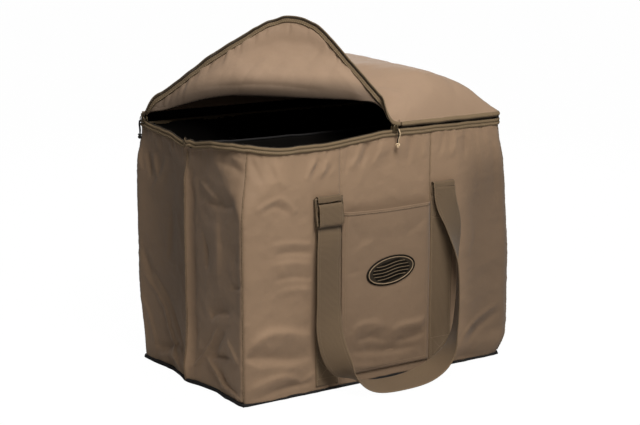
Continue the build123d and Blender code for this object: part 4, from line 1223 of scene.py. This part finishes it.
RC, RN = rim_path(3.0)
ia = int(np.argmin(np.linalg.norm(RC - FOLD_A, axis=1)))
ib = int(np.argmin(np.linalg.norm(RC - FOLD_B, axis=1)))
lid_rim = RC[ia:ib + 1] + RN[ia:ib + 1] * 0.5
flap_loop = np.r_[ib:len(RC), 0:ia + 1]
seg = np.concatenate(([0], np.cumsum(np.linalg.norm(np.diff(lid_rim, axis=0), axis=1))))


def rim_station(f):
    v = f * seg[-1]
    return np.stack([np.interp(v, seg, lid_rim[:, 0]), np.interp(v, seg, lid_rim[:, 1])], 1)


def reach(s):
    p = fold_point(s)
    A = RC[flap_loop] - RN[flap_loop] * 1.0
    a = (A - FOLD_A) @ fd / fold_len
    r = (A - FOLD_A) @ ahead
    o = np.argsort(a)
    return np.interp(s, a[o], r[o], left=0, right=0)


NS = 170
S = np.linspace(0, 1, NS)
FP, RAD, R1 = fold_point(S), crest_radius(S), reach(S)
R0 = RAD + np.minimum(8.0, 0.25 * R1 + 0.6)
R1 = np.maximum(R1, R0 + 1.5)
RS = rim_station(S)
k = RAD * np.cos(OPEN * fold_share(S))
crest = np.stack([FP[:, 0] + ahead[0] * k, FP[:, 1] + ahead[1] * k, FOLD_Z + RAD * np.sin(OPEN * fold_share(S))], 1)
lid_t = 1 - (1 - np.linspace(0, 1, 56)) ** 1.15
cz0 = crest[:, 2] - dome(crest[:, 0], crest[:, 1])
LX = crest[:, None, 0] + (RS[:, None, 0] - crest[:, None, 0]) * lid_t[None]
LY = crest[:, None, 1] + (RS[:, None, 1] - crest[:, None, 1]) * lid_t[None]
LZ = np.maximum(dome(LX, LY) + cz0[:, None] * (1 - lid_t[None]) ** 3, 585.5)
LZ[:, -1] = 582.6
rim_gap = np.minimum(np.minimum(HX - np.abs(LX), HY - np.abs(LY)), 60)
LID_FOLDS = [
    ([(120, -215), (100, -170), (60, -120)], 14, -4), ([(170, -215), (165, -170), (150, -130)], 12, 3),
    ([(230, -215), (240, -170), (235, -130)], 13, -3.5), ([(300, -212), (290, -175), (270, -140)], 12, 3),
    ([(345, -150), (300, -130), (260, -125)], 13, -3.5), ([(345, -60), (300, -50), (250, -60)], 14, 3.5),
    ([(345, 40), (300, 40), (260, 55)], 13, -3.5), ([(345, 130), (305, 120), (270, 100)], 13, 3),
    ([(250, 215), (240, 175), (250, 140)], 14, -3.5), ([(120, 215), (130, 170), (120, 130)], 14, 3),
    ([(0, 215), (10, 170), (-5, 130)], 14, -3.5), ([(-120, 215), (-110, 170), (-130, 140)], 14, 3),
    ([(-230, 215), (-220, 180), (-240, 150)], 14, -3), ([(80, -190), (60, -150), (20, -100)], 12, 3),
]
wr = strokes(LX, LY, LID_FOLDS) + 2.0 * fbm(LX / 110, LY / 110, 131) + 1.3 * ridged(LX / 80 + LY / 200, LY / 70, 133) \
    + 0.4 * fbm(LX / 17, LY / 17, 135, 2)
gather = 1.6 * np.exp(-rim_gap / 18) * vnoise((LX + LY) / 8.5, (LX - LY) / 8.5, 137)
keep = smooth(lid_t[None] / 0.12) * smooth(rim_gap / 26)
LZ = LZ + wr * keep + gather * smooth((1 - lid_t[None]) / 0.03)

strip_n = 18
st = np.linspace(0, 1, strip_n + 1)[1:]
flap_t = np.linspace(0, 1, 52)
FW = np.zeros((NS, strip_n + len(flap_t) - 1, 3))
rows = []
taper = np.clip((R1 - R0) / 60, 0, 1)


def roll(s, r, er):
    """The cloth bellies out of the folded corner's plane just above the fold."""
    side = np.sin(math.pi * np.clip(s, 0, 1))
    d = np.maximum(r - crest_radius(s), 0)
    return -30.0 * (1 - np.exp(-d / 24.0)) * (1 - smooth((d - 30.0) / 120.0)) * side ** 0.6 * smooth((er - 13.0) / 42.0)


def flap_height(s, t, r, er):
    """Height of the folded corner above its own plane when laid out closed."""
    side = np.sin(math.pi * np.clip(s, 0, 1))
    inside = smooth((er - 13.0) / 42.0)
    h = 12 * np.sin(math.pi * t) * side * inside + roll(s, r, er)
    h = h + 2.6 * np.exp(-((r - 64 + 5 * np.sin(s * 9)) / 4.5) ** 2) * smooth((s - 0.2) / 0.2) * smooth((0.8 - s) / 0.2)
    a = s * fold_len
    h = h + (2.2 * fbm(a / 90, r / 90, 151) + 1.5 * ridged(a / 60 + r / 160, r / 80, 153) + 0.4 * fbm(a / 16, r / 16, 155, 2)) * side * inside
    h = h + 2.6 * np.exp(-((1 - t) * 1.0 / 0.10) ** 2) * vnoise(a / 21, 0.0, 157) * side ** 0.5
    wings = 0.35 + 0.65 * smooth((s - 0.55) / 0.15) + 0.25 * smooth((0.35 - s) / 0.1)
    reach_in = 15.0 + 16.0 * smooth((s - 0.55) / 0.2)
    pleat = np.abs(vnoise(a / 7.5 + r / 90, r / 70, 159)) ** 0.8 * np.sign(vnoise(a / 7.5 + r / 90, r / 70, 159))
    h = h + 5.2 * wings * smooth((er - 11) / 6.0) * np.exp(-(np.maximum(er - 16, 0) / reach_in) ** 1.6) * pleat * side ** 0.35
    return h


tt = flap_t[None]
r = R0[:, None] + (R1 - R0)[:, None] * tt
h = flap_height(S[:, None], tt, r, R1[:, None] - r) * taper[:, None]
fx = FP[:, None, 0] + ahead[0] * r
fy = FP[:, None, 1] + ahead[1] * r
fz = FOLD_Z + 1 + (586.0 - FOLD_Z - 1) * tt + h
flap_closed = np.stack([fx, fy, fz], -1)
flap_open = turn(flap_closed)
rs = RAD[:, None] + (R0 - RAD)[:, None] * st[None]
rc = np.broadcast_to(crest_radius(S)[:, None], rs.shape)
strip = turn(np.stack([FP[:, None, 0] + ahead[0] * rs, FP[:, None, 1] + ahead[1] * rs,
                       FOLD_Z + st[None] + roll(S[:, None], rs, R1[:, None] - rs) * taper[:, None]], -1))
lidP = np.stack([LX, LY, LZ], -1)
CL = np.concatenate([flap_open[:, ::-1], strip[:, ::-1][:, 1:], lidP], 1)
nf = len(flap_t)
ns = strip_n - 1
W = np.concatenate([np.ones(nf), st[::-1][1:], np.zeros(len(lid_t))])
c0 = nf + ns
# the fold itself is a soft bend, not an edge
bend_len = 24.0 * smooth((R1 - R0) / 90) * smooth(S / 0.12) * smooth((1 - S) / 0.14) + 0.4
for i in range(NS):
    row = CL[i].copy()
    d = np.concatenate(([0], np.cumsum(np.linalg.norm(np.diff(row, axis=0), axis=1))))
    d = d - d[c0]
    L = bend_len[i]
    A3, B3 = (np.array([np.interp(v, d, row[:, k]) for k in range(3)]) for v in (-L, L))
    K3 = row[c0] + (row[c0] - (A3 + B3) / 2) * 0.30
    m = np.abs(d) < L
    q = ((d[m] + L) / (2 * L))[:, None]
    CL[i, m] = (1 - q) ** 2 * A3 + 2 * q * (1 - q) * K3 + q * q * B3
up_ref = normals(CL)
if up_ref[NS // 2, -20][2] < 0:
    up_ref = -up_ref
edge_d = np.minimum(np.arange(CL.shape[1])[None] * 1.0, 1)
rr = np.concatenate([r[:, ::-1], rs[:, ::-1][:, 1:], RAD[:, None] - 400 * lid_t[None]], 1)
uv = np.stack([np.broadcast_to((S * fold_len)[:, None], rr.shape), rr], -1) / 10
arc = np.concatenate([np.zeros((NS, 1)), np.cumsum(np.linalg.norm(np.diff(CL, axis=1), axis=2), axis=1)], 1)
arc = arc - arc[:, c0:c0 + 1]
pc = Piece("lid_cloth_with_folded_corner")
thick_sheet(pc, CL, up_ref, 2.8, "lid", uv=uv, tone=np.ones(rr.shape))
lid_cloth = pc.done(None)
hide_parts("lid_panel", "flap_panel")
n, m = CL.shape[:2]
ring = [i * m for i in range(n)] + [(n - 1) * m + j for j in range(1, m)] + [i * m + m - 1 for i in range(n - 2, -1, -1)] + [j for j in range(m - 2, 0, -1)]
half = np.clip(0.5 * (R1 - RAD), 9.0, 52.0)[:, None]
WV = (1 - smooth((arc + half) / (2 * half))).ravel()
WV = np.concatenate([WV, WV, WV[ring]])
blended(lid_cloth)
# a darker base colour on the underside towards the fold: it stands in for shade the photograph shows there
fold_painted_shade = 0.24 + 0.76 * smooth(-arc / 60.0)
fold_painted_shade = np.where(arc > 0, 0.24 + 0.76 * smooth(arc / 90.0), fold_painted_shade)
fold_painted_shade = 1 - (1 - fold_painted_shade) * np.sin(math.pi * np.clip(S[:, None], 0.02, 0.98)) ** 0.25
# painted shade: the underside darker again over the folded corner's left wing
fold_painted_shade = fold_painted_shade * (1 - 0.42 * smooth((S[:, None] - 0.56) / 0.36) * (arc < 0))
tn = np.ones(len(lid_cloth.data.vertices), np.float32)
tn[n * m:2 * n * m] = fold_painted_shade.ravel()
lid_cloth.data.attributes["tone"].data.foreach_set("value", tn)

# ---- the lid's half of the zip ------------------------------------------------------------------------------------------------------------------
lz = [i for i in range(len(RC)) if ia <= i and ((RC[i, 1] < -200 and RC[i, 0] > 60) or (RC[i, 0] > 300 and RC[i, 1] < 192))]
LC, LN = RC[lz], RN[lz]
s = np.arange(len(LC)) * 3.0
dn = 0.8 * vnoise(s / 20, 0.0, 17) + 0.4 * vnoise(s / 7, 0.0, 18)
dz = 0.5 * vnoise(s / 26, 2.0, 19)
pc = Piece("lid_zip_tape_welt")
prof = [(-1.5, 575.2), (1.6, 574.9), (3.4, 576.4), (4.2, 579.2), (3.6, 582.2), (2.0, 584.4), (-0.5, 585.2), (-2.5, 584.2), (-2.8, 579.0)]
# painted highlight and shade: the outward crown lighter, the lower and inner faces darker
sweep(pc, LC, LN, prof, "tape", dn=dn, dz=dz, tone=[.7, .6, .95, 1.2, 1.2, 1.05, .9, .8, .8])
stitches(pc, np.stack([LC[:, 0] + LN[:, 0] * (4.2 + dn), LC[:, 1] + LN[:, 1] * (4.2 + dn), 579.6 + dz], 1), np.c_[LN, np.zeros(len(LN))], spacing=4.8, tone=0.8)
pc.done("lid", ["lid_zip_tape"])
pc = Piece("lid_zip_coil_teeth")
coil(pc, LC, LN, 0.7, 573.9, dn, dz)
sweep(pc, LC, LN, [(-0.9, 574.2), (1.9, 574.2), (1.9, 575.3), (-0.9, 575.3)], "coil", dn=dn, dz=dz)
pc.done("lid", ["lid_zip_coil"])

# back edge of the lid, bound and hinged
bi = [i for i in range(len(RC)) if RC[i, 1] > 200 and -348 < RC[i, 0] < 352 and RN[i, 1] > 0.3]
BC, BN = RC[bi], RN[bi]
s = np.arange(len(BC)) * 3.0
pc = Piece("lid_back_binding_tape")
prof = [(-3.0, 572.6), (0.5, 571.6), (2.6, 573.6), (3.2, 577.5), (2.6, 581.5), (0.8, 584.4), (-2.4, 585.2), (-3.6, 581.0), (-3.6, 576.0)]
# painted highlight and shade: the binding's outer crown lighter, its lower and inner edges darker
sweep(pc, BC, BN, prof, "tape", dn=0.6 * vnoise(s / 24, 0.0, 27), dz=0.4 * vnoise(s / 30, 0.0, 28), tone=[.8, .8, 1, 1.1, 1.1, 1, .9, .8, .8])
# a strip in the lining's painted shade under the lid's back edge
sweep(pc, BC, BN, [(-3.9, 563.5), (-2.9, 563.5), (-2.7, 573.0), (-2.9, 584.0), (-4.1, 584.0), (-4.2, 573.0)], "lining")
stitches(pc, np.stack([BC[:, 0] + BN[:, 0] * 3.3, BC[:, 1] + BN[:, 1] * 3.3, np.full(len(BC), 578.0)], 1), np.c_[BN, np.zeros(len(BN))], spacing=4.8, tone=0.8)
pc.done("lid", ["lid_back_binding"])

# ---- the folded corner's half of the zip --------------------------------------------------------------------------------------------------------------
fl = flap_loop
FC, FN = RC[fl], RN[fl]
s = np.arange(len(FC)) * 3.0
fa = (FC - FOLD_A) @ fd / fold_len
dn = 0.5 * vnoise(s / 20, 0.0, 37)
dz = 2.6 * vnoise(fa * fold_len / 21, 0.0, 157) * np.sin(math.pi * np.clip(fa, 0, 1)) ** 0.5 * np.clip((reach(fa) - crest_radius(fa) - 8) / 60, 0, 1)
pc = Piece("flap_zip_tape_band")
prof = [(-13.0, 582.4), (-12.7, 580.2), (-8, 579.8), (-4.0, 579.4), (-1.8, 578.0), (-1.0, 576.4), (0.8, 576.0), (2.4, 577.4), (3.0, 580.2), (2.4, 583.6),
        (0.4, 586.0), (-2.4, 586.4), (-2.6, 583.4)]
# painted highlight and shade: the groove beside the coil darker, the outer bead lighter
sweep(pc, FC, FN, prof, "tape", dn=dn, dz=dz, tone=[.8, .95, 1.0, .9, .6, .8, .9, 1, 1.1, 1.1, 1, .9, .8], post=turn)
for off, zz, tn in ((-11.2, 579.9, 1.0), (-6.2, 579.4, 0.8)):
    V = np.stack([FC[:, 0] + FN[:, 0] * (off + dn), FC[:, 1] + FN[:, 1] * (off + dn), zz + dz], 1)
    dn3 = turn(V + np.array([0, 0, -1.0])) - turn(V)
    stitches(pc, turn(V), dn3, spacing=5.2, length=3.4, r=0.55, tone=tn)
ob = pc.done(None, ["flap_zip_tape"])
blended(ob)
co = np.empty(len(ob.data.vertices) * 3, np.float32)
ob.data.vertices.foreach_get("co", co)
tn = np.empty(len(ob.data.vertices), np.float32)
ob.data.attributes["tone"].data.foreach_get("value", tn)
# painted shade: the folded corner's zip tape darker along its left wing
al = (co.reshape(-1, 3) * 1000 - O3) @ fold3 / fold_len
ob.data.attributes["tone"].data.foreach_set("value", (tn * (1 - 0.38 * smooth((al - 0.55) / 0.35))).astype(np.float32))
pc = Piece("flap_zip_coil_teeth")
coil(pc, FC, FN, -1.4, 576.0, dn, dz, post=turn)
sweep(pc, FC, FN, [(-4.3, 579.9), (-3.9, 577.6), (-2.4, 576.0), (-1.6, 576.2), (-2.0, 578.0), (-2.4, 579.8)], "coil", dn=dn, dz=dz, post=turn)
ob = pc.done(None, ["flap_zip_coil"])
blended(ob)

# thread along the lid's rim
lid_thread = Piece("lid_stitching")
stitches(lid_thread, CL[2:-2, -3], up_ref[2:-2, -3], spacing=5.0, tone=0.8)
lid_thread.done("lid")
flap_thread = Piece("flap_stitching")
a0, a1 = int(NS * 0.05), int(NS * 0.95)
stitches(flap_thread, CL[a0:a1, 4] - up_ref[a0:a1, 4] * 2.8, -up_ref[a0:a1, 4], spacing=5.0, tone=0.9)
stitches(flap_thread, CL[a0:a1, 2], up_ref[a0:a1, 2], spacing=5.0, tone=0.9)
blended(flap_thread.done(None))
bag_thread.done("bag")

# ---- sliders, pull cords and knots ----------------------------------------------------------------------------------------------------------------------------
def at_left_end(V):
    V = np.asarray(V, float)
    return np.stack([V[..., 1] - (HX - HY), -V[..., 0] + 197.0, V[..., 2]], -1)


def slider(name, place, body, node):
    pc = Piece(name)
    tmp = Piece("t")
    for y0, dzz in ((-HY - 5.5, 0), (-HY + 3.5, 0)):
        # plate: wide shoulders and a narrower nose, softly rounded
        out = np.array([(-7.4, -4.5), (-5.6, -7.6), (0, -8.0), (5.6, -7.6), (7.4, -4.5), (6.6, 1.5), (4.6, 6.8), (0, 8.0), (-4.6, 6.8), (-6.6, 1.5)])
        V, F = [], []
        k = len(out)
        for t_, sc in ((-1.1, 0.86), (-0.6, 1.0), (0.6, 1.0), (1.1, 0.86)):
            for a, b in out * sc:
                V.append((a, y0 + t_, 573.0 + b))
        for a in range(3):
            for i in range(k):
                j = (i + 1) % k
                F.append((a * k + i, a * k + j, a * k + k + j, a * k + k + i))
        F += [tuple(reversed(range(k))), tuple(range(3 * k, 4 * k))]
        pc.add(place(np.array(V)), F, "metal")
    block(tmp, (0, -HY - 1, 572.6), (4, 9.5, 1.9), "metal", None, 0.5)
    ys = [(-HY - 6.4, 579.5), (-HY - 9.0, 580.4), (-HY - 11.2, 578.6), (-HY - 11.8, 574.5), (-HY - 11.2, 570.4), (-HY - 9.0, 567.8), (-HY - 6.4, 567.4)]
    tube(tmp, catmull([(0, a, b) for a, b in ys], 4), 1.1, "metal", 8)
    for sx in (-1, 1):
        block(tmp, (sx * 6.6, -HY - 1.0, 566.8), (1.2, 8.6, 2.0), "metal", None, 0.4)
    pc.add(place(np.concatenate(tmp.V)), tmp.F, "metal", check=False)
    return pc.done(body, [node])


PULL = [(0, 0, 0), (0.6, -1.6, -5.5), (1.9, -2.2, -11.5), (1.2, -1.0, -17.5), (-0.4, 0.2, -23.5), (-0.2, 0.3, -32.0)]


def pull(name, place, body, cord_node, knot_node, mat, seed):
    start = np.array([0, -HY - 13.7, 571.8])
    pts = place(np.array(PULL) + start)
    knot = Piece(name + "_knot")
    t = np.linspace(0, 2 * math.pi, 61)[:-1]
    loop = np.stack([np.sin(t) + 2 * np.sin(2 * t), np.cos(t) - 2 * np.cos(2 * t), -1.5 * np.sin(3 * t)], 1)
    K = np.stack([loop[:, 0] * 0.78, loop[:, 2] * 0.95, loop[:, 1] * 1.05], 1) + np.array(PULL[-1]) + start + np.array([0, 0, -2.6])
    tube(knot, place((K - K.mean(0)) * 1.6 + K.mean(0) + np.array([0, 0, -1.2])), 1.9, mat, 8, closed=True)
    tail = np.array([(0.6, 0.2, -4.5), (1.2, -0.6, -7.0), (1.0, -1.2, -9.4)]) + np.array(PULL[-1]) + start
    tube(knot, place(catmull(tail, 4)), np.linspace(1.2, 1.45, 9), mat, 7)
    second = np.array(PULL) * np.array([1.0, 1.0, 0.985]) + start + np.array([[2.9, 0.4, 0]] * len(PULL)) * np.array([[.75], [1], [1], [1], [.9], [.3]])
    tube(knot, place(catmull(second, 5)), 1.5, mat, 8)
    # points of the cord's loop through the slider's bail, which are not drawn
    hitch = np.array([(0.4, 0.4, 0.6), (1.6, 1.6, 2.2), (1.2, 3.6, 2.4), (-1.0, 3.4, 1.8), (-1.6, 1.2, 1.4), (-0.4, -0.6, 0.4)]) + start
    kn = knot.done(body, [knot_node])
    cu = bpy.data.curves.new(name, "CURVE")
    cu.dimensions = "3D"
    sp = cu.splines.new("NURBS")
    sp.points.add(len(pts) - 1)
    for p, v in zip(sp.points, pts):
        p.co = (v[0] / 1000, v[1] / 1000, v[2] / 1000, 1)
    sp.order_u = 3
    sp.use_endpoint_u = True
    cu.bevel_depth = 0.0013
    cu.bevel_resolution = 3
    cu.use_fill_caps = True
    cu.materials.append(M[mat])
    ob = bpy.data.objects.new(name, cu)
    scene.collection.objects.link(ob)
    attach(ob, body)
    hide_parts(cord_node)
    # length of the smooth route
    ctrl = np.array(pts)
    mids = [ctrl[0]] + [(ctrl[i] + ctrl[i + 1]) / 2 for i in range(1, len(ctrl) - 2)] + [ctrl[-1]]
    ln, prev = 0.0, ctrl[0]
    for i in range(len(mids) - 1):
        a, b, c = mids[i], ctrl[i + 1], mids[i + 1]
        for q_ in np.linspace(0, 1, 20)[1:]:
            v = (1 - q_) ** 2 * a + 2 * q_ * (1 - q_) * b + q_ * q_ * c
            ln += np.linalg.norm(v - prev)
            prev = v
    return ob


def at_front(V):
    return np.asarray(V, float) + np.array([41.0, 0, 0])


slider("front_slider_body", at_front, "front_slider", "front_slider")
slider("rear_slider_body", at_left_end, "rear_slider", "rear_slider")
pull("front_pull_cord_line", at_front, "front_pull", "front_pull_cord", "front_pull_knot", "cord", 1)
pull("rear_pull_cord_line", at_left_end, "rear_pull", "rear_pull_cord", "rear_pull_knot", "blackcord", 2)

# ---- floor and light ---------------------------------------------------------------------------------------------------------------------------------------------
fm = bpy.data.materials.new("floor")
fm.use_nodes = True
fb = fm.node_tree.nodes["Principled BSDF"]
fb.inputs["Base Color"].default_value = (0.55, 0.55, 0.55, 1)
fb.inputs["Roughness"].default_value = 0.9
ft = fm.node_tree
fe, fmix, fray, ffac = (ft.nodes.new(t) for t in ("ShaderNodeEmission", "ShaderNodeMixShader", "ShaderNodeLightPath", "ShaderNodeMath"))
fe.inputs["Color"].default_value = (1, 1, 1, 1)
fe.inputs["Strength"].default_value = 1.02
ffac.operation = "MULTIPLY"
ffac.inputs[1].default_value = 0.97
ft.links.new(fray.outputs["Is Camera Ray"], ffac.inputs[0])
ft.links.new(ffac.outputs[0], fmix.inputs[0])
ft.links.new(fb.outputs[0], fmix.inputs[1])
ft.links.new(fe.outputs[0], fmix.inputs[2])
ft.links.new(fmix.outputs[0], ft.nodes["Material Output"].inputs["Surface"])
fme = bpy.data.meshes.new("floor")
fme.from_pydata([(-12, -12, 0), (12, -12, 0), (12, 12, 0), (-12, 12, 0)], [], [(0, 1, 2, 3)])
fme.materials.append(fm)
floor = bpy.data.objects.new("floor", fme)
scene.collection.objects.link(floor)

w = bpy.data.worlds.new("studio")
scene.world = w
w.use_nodes = True
wt = w.node_tree
bg = wt.nodes["Background"]
bg.inputs["Color"].default_value = (1, 1, 1, 1)
bg.inputs["Strength"].default_value = 0.115
white = wt.nodes.new("ShaderNodeBackground")
white.inputs["Color"].default_value = (1, 1, 1, 1)
white.inputs["Strength"].default_value = 1.0
mixer, rays = wt.nodes.new("ShaderNodeMixShader"), wt.nodes.new("ShaderNodeLightPath")
wt.links.new(rays.outputs["Is Camera Ray"], mixer.inputs[0])
wt.links.new(bg.outputs[0], mixer.inputs[1])
wt.links.new(white.outputs[0], mixer.inputs[2])
wt.links.new(mixer.outputs[0], wt.nodes["World Output"].inputs["Surface"])
scene.view_settings.view_transform = "Standard"


def area(name, loc, target, size, power, colour=(1, 1, 1)):
    li = bpy.data.lights.new(name, "AREA")
    li.shape = "SQUARE"
    li.size = size
    li.energy = power
    li.color = colour
    ob = bpy.data.objects.new(name, li)
    ob.location = loc
    ob.rotation_euler = (Vector(target) - Vector(loc)).to_track_quat("-Z", "Y").to_euler()
    scene.collection.objects.link(ob)


area("key", (-0.45, -1.75, 2.4), (0, -0.1, 0.4), 1.1, 72)
area("top", (0.25, 0.5, 2.9), (0, 0, 0.5), 1.4, 17)
area("behind", (1.7, 2.4, 1.5), (0, 0.1, 0.35), 1.2, 26)
